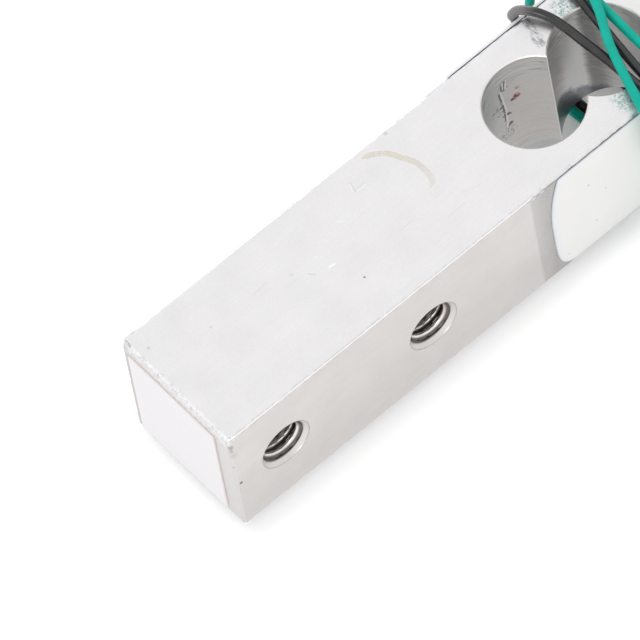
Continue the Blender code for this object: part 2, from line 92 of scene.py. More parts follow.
# %% Camera
AZIMUTH = math.radians(-30.786)
ELEVATION = math.radians(59.292)
ROLL = math.radians(-11.624)
AIM = Vector((-27.861, -3.082, 6.35)) * MM
DISTANCE = 2.038
LENS_MM = 1500


def add_object(name, data):
    """An object in the scene that shows this data."""
    obj = bpy.data.objects.new(name, data)
    bpy.context.scene.collection.objects.link(obj)
    return obj


look = Vector(
    (
        -math.sin(AZIMUTH) * math.cos(ELEVATION),
        math.cos(AZIMUTH) * math.cos(ELEVATION),
        -math.sin(ELEVATION),
    )
)
level = Vector((math.cos(AZIMUTH), math.sin(AZIMUTH), 0))
right = math.cos(ROLL) * level + math.sin(ROLL) * level.cross(look)
camera = add_object("camera", bpy.data.cameras.new("camera"))
camera.data.sensor_width = 36
camera.data.lens = LENS_MM
camera.data.clip_start = 0.1
camera.data.clip_end = 20
axes = Matrix((right, right.cross(look), -look)).transposed()
camera.matrix_world = Matrix.Translation(AIM - look * DISTANCE) @ axes.to_4x4()
bpy.context.scene.camera = camera
print("camera at", [round(x, 3) for x in camera.location])

# %% [markdown]
# ## Sums that make nodes
#
# Every finish below is a network of nodes. It could be wired by hand in the shader editor,
# but a mask such as "near the end and not on the label" is easier to read as a sum. `Value`
# wraps a node's socket, and each operator on it adds one Math node. `Nodes` makes every other
# kind of node.


# %% Sums that make nodes
class Value:
    """A socket that takes part in arithmetic."""

    def __init__(self, owner, socket):
        self.owner = owner
        self.socket = socket

    def math(self, operation, *others):
        """One Math node that takes this value first and the others after it."""
        inputs = dict(enumerate((self, *others)))
        return self.owner.node("ShaderNodeMath", {"operation": operation}, inputs)

    def __add__(self, other):
        return self.math("ADD", other)

    def __sub__(self, other):
        return self.math("SUBTRACT", other)

    def __rsub__(self, other):
        return self * -1 + other

    def __mul__(self, other):
        return self.math("MULTIPLY", other)

    def __truediv__(self, other):
        return self.math("DIVIDE", other)

    def __pow__(self, other):
        return self.math("POWER", other)

    def __abs__(self):
        return self.math("ABSOLUTE")

    __radd__ = __add__
    __rmul__ = __mul__


class Nodes:
    """A tree of nodes, of a material or of the world."""

    def __init__(self, tree):
        self.tree = tree

    def node(self, kind, settings=None, inputs=None, output=0):
        """Any node: its settings first, then a value or a link for each of its sockets."""
        made = self.tree.nodes.new(kind)
        for key, value in (settings or {}).items():
            setattr(made, key, value)
        for key, value in (inputs or {}).items():
            if isinstance(value, Value):
                self.tree.links.new(value.socket, made.inputs[key])
            else:
                made.inputs[key].default_value = value
        return Value(self, made.outputs[output])


print("Value and Nodes are ready")

# %% [markdown]
# ## A material and its patterns
#
# `Paint` is one Principled material. It knows the place on the part in millimetres, along the
# bar, across it and up, so that a stain or a scratch is written where it is on the real bar.
# Image textures would need unwrapping, and these patterns don't. What is the same all over a
# piece is set straight on the shader, and only what changes over it comes from nodes.


# %% A material and its patterns
class Paint(Nodes):
    """A Principled material and the patterns that feed it."""

    def __init__(self, name, **settings):
        self.material = bpy.data.materials.new(name)
        self.material.use_nodes = True
        super().__init__(self.material.node_tree)
        self.shader = self.tree.nodes["Principled BSDF"]
        self.set(**settings)
        coordinates = self.node("ShaderNodeTexCoord", output="Object")
        self.place = self.vector("SCALE", coordinates, Scale=1000)
        self.along, self.across, self.up = self.split(self.place)

    def vector(self, operation, *parts, output=0, **inputs):
        named = {**dict(enumerate(parts)), **inputs}
        return self.node("ShaderNodeVectorMath", {"operation": operation}, named, output)

    def split(self, vector):
        made = self.node("ShaderNodeSeparateXYZ", None, {0: vector}).socket.node
        return [Value(self, socket) for socket in made.outputs]

    def stretched(self, along, across, up):
        """The place in the bar's frame, scaled differently along each axis."""
        return self.vector("MULTIPLY", self.place, (along, across, up))

    def noise(self, scale, detail=3, where=None, rough=0.5):
        inputs = {"Vector": where or self.place, "Scale": scale, "Detail": detail}
        inputs["Roughness"] = rough
        return self.node("ShaderNodeTexNoise", None, inputs)

    def step(self, value, low, high):
        """Rises smoothly from 0 at low to 1 at high, or falls where high is the smaller."""
        inputs = {"Value": value, "From Min": low, "From Max": high}
        return self.node("ShaderNodeMapRange", {"interpolation_type": "SMOOTHSTEP"}, inputs)

    def mix(self, share, first, second):
        """The first colour at a share of 0, and the second at 1."""
        inputs = {0: share}
        for index, colour in ((6, first), (7, second)):
            inputs[index] = colour if isinstance(colour, Value) else (*colour, 1)
        return self.node("ShaderNodeMix", {"data_type": "RGBA"}, inputs, 2)

    def spot(self, centre, radius, soft=0.3):
        """1 within a radius of a point, in millimetres."""
        far = self.vector("DISTANCE", self.place, centre, output="Value")
        return self.step(far, radius, radius * (1 - soft))

    def stroke(self, here, first, second, half):
        """1 along the straight stroke between two places of a plane, in millimetres."""
        run = [b - a for a, b in zip(first, second)]
        size = run[0] ** 2 + run[1] ** 2
        share = ((here[0] - first[0]) * run[0] + (here[1] - first[1]) * run[1]) / size
        share = self.node("ShaderNodeClamp", None, {"Value": share})
        off = [value - start - share * step for value, start, step in zip(here, first, run)]
        far = (off[0] * off[0] + off[1] * off[1]) ** 0.5
        return self.step(far, half * 1.5, half * 0.6)

    def bump(self, height, strength, depth_mm):
        """Relief of about this depth, in millimetres, without any change of shape."""
        inputs = {"Height": height, "Strength": strength, "Distance": depth_mm * MM}
        self.set(Normal=self.node("ShaderNodeBump", None, inputs))

    def set(self, **sockets):
        for key, value in sockets.items():
            socket = self.shader.inputs[key.replace("_", " ")]
            if isinstance(value, Value):
                self.tree.links.new(value.socket, socket)
            elif isinstance(value, tuple):
                socket.default_value = (*value, 1)
            else:
                socket.default_value = value
        return self


print("Paint is ready")

# %% [markdown]
# ## Placing a piece
#
# The part is one rigid piece, so everything rides on the body named root. Meshes are built
# from lists of points and faces, because every point then has a size behind it.


# %% Placing a piece
def place(obj, slot=None):
    """Fixes a piece to the part. Its slot is not used."""
    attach(obj, "root")
    return obj if slot else obj


def full_turn(count):
    """The angles of this many equal steps round."""
    return [2 * math.pi * index / count for index in range(count)]


def add_mesh(name, vertices, faces, *materials, smooth=True):
    mesh = bpy.data.meshes.new(name)
    mesh.from_pydata(vertices, [], faces)
    mesh.update()
    for material in materials:
        mesh.materials.append(material)
    for polygon in mesh.polygons:
        polygon.use_smooth = smooth
    return add_object(name, mesh)


print("ready to place pieces")

# %% [markdown]
# ## The routes of the two leads
#
# Each lead leaves the front silicone, winds three times round the bar and runs out along the
# table behind it. A simulation could drop a loose lead, but these were wound by hand and then
# photographed, so each point was chosen to lie where the photograph shows the lead, and the
# hidden points to lie on the bar or the table. The points are in millimetres: along the bar,
# across it, and up. They are the same as in the solids.

# %% The routes of the two leads
BLACK_ROUTE = (
    (8.33, -6.78, 0.75), (9.93, -7.05, 0.75), (11.03, -7.05, 0.95), (11.98, -7.05, 1.8),
    (12.48, -7.02, 3.2), (12.53, -7.12, 5.2), (12.53, -6.7, 6.62), (12.53, -5.35, 7.12),
    (12.53, -3.2, 6.95), (12.53, 0.0, 6.78), (12.43, 3.2, 6.95), (12.28, 5.35, 7.12),
    (12.08, 6.75, 6.62), (11.73, 7.25, 5.2), (10.83, 7.5, 3.0), (9.33, 7.75, 0.3),
    (7.9, 7.8, -2.6), (7.25, 7.92, -4.75), (7.05, 7.5, -6.25), (6.93, 6.05, -6.8),
    (6.91, 4.3, -6.78), (6.7, 0.0, -6.78), (6.05, -4.3, -6.78), (5.8, -6.0, -6.8),
    (5.62, -7.5, -6.25), (5.4, -8.05, -4.8), (4.83, -8.0, 0.0), (4.23, -7.95, 4.75),
    (4.08, -7.45, 6.2), (4.08, -6.1, 6.9), (4.1, -4.3, 6.88), (4.43, -1.0, 6.78),
    (4.73, 1.5, 6.78), (4.98, 3.9, 6.85), (5.11, 5.5, 7.0), (5.11, 6.95, 6.6),
    (4.98, 7.7, 5.3), (4.73, 7.85, 3.5), (4.23, 7.9, 0.0), (3.63, 7.95, -3.3),
    (3.43, 7.88, -4.85), (3.35, 7.42, -6.2), (3.25, 6.05, -6.8), (3.25, 4.3, -6.78),
    (3.33, 2.5, -6.78), (3.38, -2.5, -6.78), (3.38, -6.0, -6.8), (3.38, -7.5, -6.25),
    (3.33, -8.05, -4.8), (3.23, -8.0, 0.0), (3.18, -7.95, 4.75), (3.18, -7.45, 6.2),
    (3.18, -6.1, 6.9), (3.15, -4.3, 6.85), (3.01, -1.1, 6.78), (2.79, 1.0, 6.78),
    (2.55, 3.3, 6.85), (2.22, 4.6, 7.0), (1.63, 5.75, 7.15), (0.93, 6.75, 6.95),
    (0.55, 7.12, 6.3), (0.78, 7.17, 5.3), (0.95, 7.43, 3.9), (1.03, 7.71, 1.8),
    (1.1, 7.78, 0.0), (1.23, 7.9, -3.2), (1.73, 8.45, -5.4), (3.23, 9.7, -6.65),
    (4.93, 10.75, -6.78), (7.63, 11.5, -6.78), (12.13, 11.9, -6.78), (18.13, 11.2, -6.78),
    (24.13, 11.6, -6.78), (30.13, 12.1, -6.78), (34.63, 11.6, -6.78),
)
GREEN_ROUTE = (
    (8.33, -6.78, -0.75), (9.93, -7.05, -0.75), (11.53, -7.05, -0.7), (13.03, -7.05, 0.5),
    (13.63, -7.02, 2.8), (13.63, -7.12, 5.2), (13.63, -6.7, 6.62), (13.63, -5.35, 7.12),
    (13.63, -3.2, 6.95), (13.53, 0.0, 6.78), (13.48, 3.2, 6.95), (13.33, 5.35, 7.12),
    (13.13, 6.75, 6.62), (12.78, 7.25, 5.2), (11.93, 7.5, 3.0), (10.53, 7.6, 0.3),
    (9.3, 7.75, -2.6), (8.3, 7.95, -4.75), (7.88, 7.52, -6.25), (7.74, 6.05, -6.8),
    (7.72, 4.3, -6.78), (7.6, 0.0, -6.78), (7.1, -4.3, -6.78), (6.9, -6.0, -6.8),
    (6.8, -7.5, -6.25), (6.62, -8.05, -4.8), (6.23, -8.15, 0.0), (5.88, -7.95, 4.75),
    (5.78, -7.45, 6.2), (5.78, -6.1, 6.9), (5.78, -4.3, 6.85), (5.81, -1.0, 6.78),
    (5.87, 1.5, 6.78), (5.93, 3.9, 6.8), (5.98, 5.6, 6.95), (5.98, 7.3, 6.85),
    (5.78, 8.8, 5.7), (5.28, 9.8, 3.6), (4.48, 10.3, 0.6), (3.78, 10.0, -2.4),
    (3.01, 9.0, -4.85), (2.6, 7.5, -6.45), (2.43, 5.8, -6.8), (2.43, 4.2, -6.78),
    (2.53, 2.5, -6.78), (2.58, -2.5, -6.78), (2.53, -6.0, -6.8), (2.48, -7.5, -6.25),
    (2.38, -8.05, -4.8), (2.08, -8.0, 0.0), (1.78, -8.0, 4.9), (1.73, -7.6, 6.6),
    (2.03, -6.3, 7.5), (2.78, -3.7, 7.66), (3.83, -0.7, 7.66), (5.03, 1.7, 7.66),
    (5.78, 3.6, 7.75), (6.53, 5.4, 7.75), (7.18, 7.1, 7.3), (7.53, 8.4, 6.1),
    (7.68, 9.0, 3.8), (7.73, 9.0, 0.0), (7.88, 9.05, -3.6), (8.63, 9.3, -5.9),
    (10.73, 9.8, -6.72), (14.13, 10.2, -6.78), (19.13, 9.4, -6.78), (24.63, 9.7, -6.78),
    (30.13, 9.0, -6.78), (35.13, 9.4, -6.78),
)
print(len(BLACK_ROUTE), "and", len(GREEN_ROUTE), "points")

# %% [markdown]
# ## A smooth line through a route
#
# A soft lead has no corners. The usual smooth curve overshoots where two points lie close
# together and the next is far, and a lead would then cut into the bar. Spacing the knots by
# the square root of each distance cures that, so the line is worked out here in that way.

# %% A smooth line through a route
LINE_STEP = 0.22 * MM


def span(points, index, share):
    """A point of the smooth curve between two points of a route."""
    first, second = points[index], points[index + 1]
    before = points[index - 1] if index else 2 * first - second
    after = points[index + 2] if index + 2 < len(points) else 2 * second - first
    knots = [0.0]
    for start, end in ((before, first), (first, second), (second, after)):
        knots.append(knots[-1] + math.sqrt((end - start).length))
    at = knots[1] + share * (knots[2] - knots[1])

    def blend(a, b, low, high):
        return a.lerp(b, (at - low) / (high - low))

    a1 = blend(before, first, knots[0], knots[1])
    a2 = blend(first, second, knots[1], knots[2])
    a3 = blend(second, after, knots[2], knots[3])
    b1 = blend(a1, a2, knots[0], knots[2])
    b2 = blend(a2, a3, knots[1], knots[3])
    return blend(b1, b2, knots[1], knots[2])


def smooth_route(route):
    """Points along the whole route, about one step apart."""
    points = [Vector(point) * MM for point in route]
    made = []
    for index in range(len(points) - 1):
        count = max(2, round((points[index + 1] - points[index]).length / LINE_STEP))
        made += [span(points, index, share / count) for share in range(count)]
    return made + [points[-1]]


lines = {"black": smooth_route(BLACK_ROUTE), "green": smooth_route(GREEN_ROUTE)}
print({name: len(line) for name, line in lines.items()}, "points on the lines")

# %% [markdown]
# ## Soft plastic
#
# A lead's jacket is soft plastic with a faint ripple and a paler bloom, and the black one is
# pale with dust and a painted sheen where it bends down over the bar's back edge. One recipe
# makes both jackets. The ripple is only relief, because it is too small to show in the outline
# of the lead.


# %% Soft plastic
def jacket_paint(name, colour, sheen_colour, roughness, gloss, dust_and_sheen_colour):
    """Soft plastic with a faint long ripple, a paler bloom, and dust with a painted sheen where it
    turns down.
    """
    paint = Paint(name, IOR=1.5, Specular_IOR_Level=gloss)
    bloom = paint.step(paint.noise(0.9, 4), 0.42, 0.7)
    # dust and a painted sheen on the black lead's top, where it turns down over the back edge
    dust_and_sheen = paint.step(paint.across, 5.3, 6.9) * paint.step(paint.along, 3.2, 2.0)
    dust_and_sheen = dust_and_sheen * paint.step(paint.up, 5.2, 6.6)
    body = paint.mix(bloom, colour, sheen_colour)
    paint.set(Base_Color=paint.mix(dust_and_sheen, body, dust_and_sheen_colour))
    paint.set(Roughness=roughness + bloom * 0.08)
    paint.bump(paint.noise(5, 3) + paint.noise(22, 2) * 0.35, 0.35, 0.03)
    return paint.material


BLACK, BLACK_BLOOM, BLACK_DUST_AND_SHEEN = (0.004, 0.0035, 0.005), (0.018, 0.0155, 0.017), (0.19, 0.18, 0.18)
GREEN, GREEN_BLOOM = (0.001, 0.42, 0.32), (0.002, 0.46, 0.36)
jackets = {
    "black": jacket_paint("black_jacket", BLACK, BLACK_BLOOM, 0.27, 0.75, BLACK_DUST_AND_SHEEN),
    "green": jacket_paint("green_jacket", GREEN, GREEN_BLOOM, 0.34, 0.22, GREEN),
}
print([jacket.name for jacket in jackets.values()])

# %% [markdown]
# ## The two leads
#
# Each lead is a thin round cord. A tube of faces could be built point by point, but a curve
# with a round bevel is the plain way to make a cord, and its length is the length of its
# line. It is a hair thicker than its solid, so that the two don't flicker. The bare root and
# tip at its ends keep their solids.

# %% The two leads
SWELLING = 0.03 * MM
TUBE_RESOLUTION = 5


def tube(name, points, diameter, material):
    curve = bpy.data.curves.new(name, "CURVE")
    curve.dimensions = "3D"
    curve.bevel_depth = diameter / 2
    curve.bevel_resolution = TUBE_RESOLUTION
    curve.use_fill_caps = True
    spline = curve.splines.new("POLY")
    spline.points.add(len(points) - 1)
    for point, where in zip(spline.points, points):
        point.co = (*where, 1)
    spline.use_smooth = True
    curve.materials.append(material)
    return add_object(name, curve)


for colour_name, line in lines.items():
    length = sum((b - a).length for a, b in zip(line, line[1:]))
    lead = tube(f"{colour_name}_lead_tube", line, LEAD_DIAMETER + SWELLING, jackets[colour_name])
    place(lead, f"{colour_name}_jacket")
    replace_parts(lead, f"{colour_name}_lead")
    print(colour_name, "lead", round(length * 1000, 1), "mm")

# %% [markdown]
# ## Marks on the bare metal
#
# The real bar has been handled: it carries small spots and scratches that can be pointed at
# in the photograph. A random pattern would put them anywhere, so each one is a spot or a
# straight stroke at its own place, in millimetres in the bar's frame.

# %% Marks on the bare metal
GAUGED_HALF_MM = 9.3  # the sanded stretch of a gauged face, either side of the middle
LABEL_TOP_MM = 4.8  # the bare strip of the end is above it
# dark scuffs where the leads rub, under a painted teal reflection of the green lead
SCUFFS_AND_GREEN_REFLECTION = (  # place and radius, where the leads rub
    ((2.2, -4.7, 6.35), 1.8),
    ((3.7, 4.7, 6.35), 1.5),
)
METAL_MARKS = (  # place, radius and how much darker
    ((-39.98, -6.35, 5.25), 0.5, 0.3),
    ((-39.9, -6.35, 4.7), 0.3, 0.2),
    ((-39.98, -6.35, 2.3), 0.2, 0.35),
    ((-39.6, -6.35, -0.3), 0.22, 0.5),
    ((-39.75, -6.35, 4.0), 0.5, 0.08),
    ((-22.93, -2.6, 6.35), 0.13, 0.6),
    ((-38.94, 4.26, 6.35), 0.2, 0.16),
    ((-13.42, 5.93, 6.35), 0.2, 0.3),
    ((-13.42, 5.93, 6.35), 0.11, -0.26),
    ((-26.8, 1.44, 6.35), 0.22, 0.08),
    ((-34.28, 2.31, 6.35), 0.16, 0.12),
)
TOP_STROKES = (  # both ends, half width and how much darker
    ((-18.26, 4.49), (-18.45, 3.68), 0.06, 0.08),
    ((-18.45, 3.68), (-17.49, 3.74), 0.06, 0.07),
    ((-18.38, 4.4), (-18.6, 3.75), 0.05, -0.08),
    ((-18.3, 3.58), (-17.5, 3.6), 0.05, -0.08),
    ((-24.3, -0.02), (-23.8, -0.1), 0.07, -0.16),
    ((-18.29, -1.42), (-16.82, -1.37), 0.03, 0.06),
    ((-25.81, 0.6), (-25.5, 0.2), 0.06, 0.1),
    ((-21.2, 2.6), (-20.9, 2.3), 0.06, -0.06),
    ((-30.1, 2.2), (-28.6, 2.3), 0.04, 0.07),
    ((-12.6, -2.2), (-11.2, -2.6), 0.03, 0.08),
    ((-14.9, -3.1), (-13.1, -3.0), 0.03, 0.07),
)
print(len(METAL_MARKS), "spots and", len(TOP_STROKES), "scratches")

# %% [markdown]
# ## Faces and worn edges
#
# The rounded edges between the bar's faces show thin bright and dark strips, which are
# painted here as highlights and shade. Dents alone gave too little of that. So the way the
# surface faces tells which face a place is on, and how far round a rounded edge it lies, and
# each strip is painted brighter or darker by its own share.


# %% Faces, and light and shade on the edges
def face_masks(paint):
    """The way the surface faces, and masks of the ends, the gauged faces and the top."""
    facing = paint.split(paint.node("ShaderNodeTexCoord", output="Normal"))
    return facing, *[paint.step(abs(part), 0.7, 0.9) for part in facing]


def edge_highlights_and_shade(paint, facing, end, gauged):
    """Painted highlights and shade on the rounded strips between the faces, and a mask of the back
    one.
    """
    near_bore = paint.step(abs(paint.along), GAUGED_HALF_MM, GAUGED_HALF_MM - 0.4)
    broken = paint.step(paint.noise(1.6, 3, rough=0.7), 0.35, 0.6)
    shaded_back_edge = paint.step(facing[1], 0.08, 0.3) * paint.step(facing[2], 0.2, 0.4)
    ridge_highlight = paint.step(facing[1], -0.2, -0.4) * paint.step(facing[2], 0.5, 0.62)
    ridge_highlight = ridge_highlight * paint.step(facing[2], 0.86, 0.76) * (1 - near_bore)
    over_ridge = paint.step(facing[1], -0.1, -0.25) * paint.step(facing[2], 0.8, 0.88)
    over_ridge = over_ridge * paint.step(facing[2], 0.985, 0.95) * (1 - near_bore) * broken
    upright = (1 - gauged) * (1 - end) * paint.step(abs(facing[2]), 0.5, 0.3)
    dark_ridge = paint.step(facing[1], -0.5, -0.7) * paint.step(facing[2], 0.05, 0.3) * near_bore
    under_ridge = paint.step(facing[1], -0.8, -0.9) * paint.step(facing[2], 0.08, 0.2)
    bottom_edge = paint.step(facing[2], -0.06, -0.2) * paint.step(facing[2], -0.8, -0.6)
    behind = paint.step(facing[1], 0.15, 0.4) * paint.step(facing[0], -0.2, -0.5)
    margin = (paint.step(paint.across, 5.55, 5.65) + paint.step(paint.up, -5.9, -6.0)) * end
    # painted shade on the back edge, a painted highlight on the ridge, and painted shade on the
    # other strips and corners
    level = (1 - shaded_back_edge * (0.12 + near_bore * 0.28)) * (1 + ridge_highlight * 0.2 - over_ridge * 0.14)
    level = level * (1 - dark_ridge * broken * 0.14) * (1 - under_ridge * broken * 0.12)
    level = level * (1 - bottom_edge * (0.1 + near_bore * 0.42))
    level = level * (1 - behind * 0.25) * (1 - margin * 0.18) * (1 - upright * 0.22)
    return level, shaded_back_edge


# the edge masks paint highlights and shade
print("masks for the faces and the worn edges")

# %% [markdown]
# ## The metal of the bar's faces
#
# The bar is drawn and sawn aluminium. Its top has fine lines along it, a gauged face is
# sanded duller round the bore, and the end is darker. The gauged faces are also painted darker
# as shade, more towards the bottom, and small glints are painted among the nicks near the
# top's edges. Each face could have a material of its own, but the grain runs on over the edges,
# so one metal covers them all: every pattern adds to or takes from one level of brightness,
# and a tint is laid over it.


# %% The metal of the bar's faces
def bar_paint():
    """Grain, brushing and flecks of each face, its nicks, painted glints and shade, scuffs with a
    painted green reflection, marks, and one tint.
    """
    paint = Paint("bare_aluminium", Metallic=1.0)
    facing, end, gauged, top = face_masks(paint)
    mottle = paint.noise(0.35, 5) - 0.5
    grain = paint.noise(6, 5, rough=0.8) - 0.5
    brushed = paint.noise(1, 4, paint.stretched(0.25, 9, 9)) - 0.5
    sanded = gauged * paint.step(abs(paint.along), GAUGED_HALF_MM + 0.2, GAUGED_HALF_MM - 0.1)
    near_end = paint.step(abs(paint.along), END_MM - 0.55, END_MM - 0.2) * top * 0.35
    near_side = paint.step(abs(paint.across), FACE_MM - 0.4, FACE_MM - 0.15) * top
    near_side = near_side * (0.4 - paint.step(paint.across, -1, 1) * 0.25)
    flecks = paint.step(paint.noise(1.9, 4, rough=0.7), 0.66, 0.72) * top
    above_label = paint.step(paint.up, LABEL_TOP_MM, LABEL_TOP_MM + 0.2)
    above_label = above_label * paint.step(abs(facing[0]), 0.3, 0.6)
    near_end = near_end + above_label
    # nicks near the top's edges, and painted glints among them
    nicks = paint.step(paint.noise(2.8, 3, rough=0.65), 0.53, 0.6) * (near_end + near_side)
    glints = paint.step(paint.noise(3.5, 2, rough=0.6), 0.58, 0.64) * (near_end + near_side)
    scuffs_and_green_reflection = paint.step(paint.noise(4, 4, rough=0.8), 0.45, 0.6)
    scuffs_and_green_reflection = scuffs_and_green_reflection * (paint.spot(*SCUFFS_AND_GREEN_REFLECTION[0], 0.7) + paint.spot(*SCUFFS_AND_GREEN_REFLECTION[1], 0.7))
    lines = paint.noise(1, 5, paint.stretched(0.16, 6.5, 6.5), rough=0.7) - 0.5
    ticks = paint.noise(6, 2, paint.stretched(0.7, 1, 1), rough=0.7)
    shiny = paint.step(ticks, 0.66, 0.71) * top
    dull = paint.step(ticks, 0.33, 0.28) * top
    by_gauges = paint.step(abs(paint.along), GAUGED_HALF_MM, GAUGED_HALF_MM - 1.6) * sanded
    level = 0.82 + mottle * (0.08 + gauged * 0.06) + grain * 0.16 * (1 - sanded)
    level = level + brushed * 0.1 * gauged
    level = level + lines * 0.05 * top + shiny * 0.07 - dull * 0.06
    level = level * (1 - sanded * 0.2) * (1 - by_gauges * 0.16)
    # the gauged faces are painted darker as shade, and more so towards the bottom
    level = level * (1 - end * 0.25 + above_label * 0.12) * (1 - gauged * 0.2)
    level = level * (1 - paint.step(paint.up, 3.5, -6) * gauged * 0.1)
    level = level - nicks * 0.13 + glints * 0.1 + flecks * 0.04 - scuffs_and_green_reflection * 0.4
    # painted highlights and shade along the rounded edges and corners
    edges, shaded_back_edge = edge_highlights_and_shade(paint, facing, end, gauged)
    level = level * edges
    here = (paint.along, paint.across)
    wobble = (paint.noise(1.8, 3) - 0.5) * 0.9
    smudge = paint.stroke((paint.along + wobble, paint.across), (1.1, 6.1), (0.42, 3.6), 0.32)
    hairs = paint.noise(1, 4, paint.stretched(6, 1.7, 1), rough=0.7)
    smudge = smudge * paint.step(hairs, 0.38, 0.62) * top
    level = level - smudge * 0.46
    for first, second, half, darker in TOP_STROKES:
        level = level - paint.stroke(here, first, second, half) * top * darker
    for centre, radius, darker in METAL_MARKS:
        level = level - paint.spot(centre, radius, 0.7) * darker
    tint = paint.mix(gauged + end * 0.7, (1.0, 0.985, 0.995), (1.0, 0.965, 0.945))
    # a cool tint over the nicks and the smudge, and a painted cool reflection along the shaded back
    # edge
    tint = paint.mix(nicks + shaded_back_edge * 0.5 + smudge * 0.5, tint, (0.92, 0.96, 1.06))
    # a painted teal reflection of the green lead over the scuffs
    tint = paint.mix(scuffs_and_green_reflection * 0.8, tint, (0.5, 0.95, 0.86))
    paint.set(Base_Color=paint.vector("SCALE", tint, Scale=level))
    paint.set(Roughness=0.34 + mottle * 0.12 + grain * 0.14 - sanded * 0.06)
    paint.bump(grain + lines * top + brushed * 0.5 * gauged - nicks * 2, 0.5, 0.01)
    return paint.material


aluminium = bar_paint()
print(aluminium.name, len(aluminium.node_tree.nodes), "nodes")

# %% [markdown]
# ## Marks on the bore's wall
#
# The wall of the first lobe shows a bright scored line with a dark side, and reddish specks
# beside it. Carving such shallow marks would need very many faces, so they are painted where
# they lie: the grit first, then the line, and the smallest specks last.

# %% Marks on the bore's wall
WALL_SPECKS = (  # place, radius and colour; the later ones lie over the earlier
    ((-2.22, 3.94, 2.45), 0.26, (0.55, 0.36, 0.34)),
    ((-2.2, 3.93, 2.5), 0.12, (0.72, 0.66, 0.64)),
    ((-2.36, 3.98, 1.38), 0.42, (0.3, 0.07, 0.06)),
    # a painted highlight on the dark red speck before it
    ((-2.28, 3.96, 1.5), 0.15, (0.75, 0.55, 0.55)),
    ((-2.74, 4.05, 1.12), 0.27, (0.2, 0.1, 0.08)),
    ((-2.5, 4.02, 0.95), 0.13, (0.45, 0.3, 0.28)),
    ((-3.3, 4.1, -0.42), 0.24, (0.16, 0.11, 0.1)),
    ((-3.1, 4.1, -0.6), 0.13, (0.2, 0.12, 0.11)),
    ((-3.22, 4.1, -1.9), 0.28, (0.24, 0.13, 0.1)),
    ((-3.4, 4.1, -2.1), 0.14, (0.14, 0.11, 0.1)),
    ((-3.4, 4.1, 3.15), 0.18, (0.4, 0.25, 0.23)),
    ((-3.92, 4.06, 1.13), 0.17, (0.16, 0.14, 0.14)),
    ((-3.75, 4.08, 0.4), 0.15, (0.2, 0.17, 0.17)),
    ((-3.85, 4.07, -0.3), 0.13, (0.24, 0.2, 0.2)),
    ((-4.79, 3.84, 1.39), 0.14, (0.3, 0.28, 0.27)),
)
SHADOW_OFFSET_MM = 0.17  # the dark side of the scored line
WALL_SCORES = (  # both ends as (along, up), and half width
    ((-3.04, 4.2), (-3.2, 3.25), 0.07),
    ((-3.36, 4.15), (-3.42, 3.3), 0.06),
    ((-3.69, 3.05), (-3.44, 0.4), 0.09),
    ((-3.44, 0.4), (-3.5, -1.45), 0.08),
    ((-3.5, -1.45), (-3.6, -2.1), 0.06),
)


def marked_wall(paint, body):
    """Dark grit, the scored line with its shadow, and the specks, one over another."""
    wall = paint.step(paint.across, 3.2, 3.4)
    flecked = paint.step(paint.noise(4.2, 4, rough=0.8), 0.53, 0.6) * wall
    near_score = paint.spot((-4.2, 3.95, 1.2), 1.5, 0.6) + paint.spot((-3.7, 4.1, -2.9), 1.1, 0.6)
    near_score = near_score + paint.spot((-2.9, 4.0, 3.6), 0.8, 0.6) * 0.7
    body = paint.mix(flecked * near_score * 0.75, body, (0.2, 0.19, 0.19))
    wobble = (paint.noise(2.5, 3) - 0.5) * 0.12
    wavy = (paint.along + wobble, paint.up)
    broken = paint.step(paint.noise(2.6, 3), 0.36, 0.5)
    for first, second, half in WALL_SCORES:
        beside = [(along - SHADOW_OFFSET_MM, up) for along, up in (first, second)]
        dark = paint.stroke(wavy, *beside, half * 1.2) * wall * broken
        body = paint.mix(dark * 0.9, body, (0.16, 0.15, 0.16))
    for first, second, half in WALL_SCORES:
        bright = paint.stroke(wavy, first, second, half) * wall
        body = paint.mix(bright, body, (1.0, 1.0, 1.0))
    for centre, radius, colour in WALL_SPECKS:
        body = paint.mix(paint.spot(centre, radius, 0.6), body, colour)
    return body


print(len(WALL_SCORES), "scores and", len(WALL_SPECKS), "specks")

# %% [markdown]
# ## The turned wall of the bore
#
# Each lobe was cut by a tool that left fine rings near its mouths, and the second one shows
# slanting streaks, painted bands of highlight and shade, and a painted dark reflection of the
# leads below. Grooves in the mesh would be far too shallow to matter, so all of it is paint and
# a little relief. The two lobes share one paint, which changes over at the cusp between them.


# %% The turned wall of the bore
def second_lobe(paint, level):
    """Slanting streaks, and the wall's brightness with painted bands of highlight and shade."""
    sheared = paint.up + paint.along * 1.1
    fan = {0: paint.along * 0.3, 1: paint.across * 0.3, 2: sheared * 2.6}
    where = paint.node("ShaderNodeCombineXYZ", None, fan)
    streaks = paint.noise(1, 4, where, rough=0.65) - 0.5
    bend = paint.along + streaks * 0.8
    # painted highlight and shade in bands across the second lobe's wall
    light = paint.step(bend, 1.3, 3.2) * 0.4 - paint.step(bend, 3.95, 4.75) * 0.88
    light = light + paint.step(bend, 5.2, 6.2) * 0.4
    return streaks, level * (0.98 + light) + streaks * 0.34


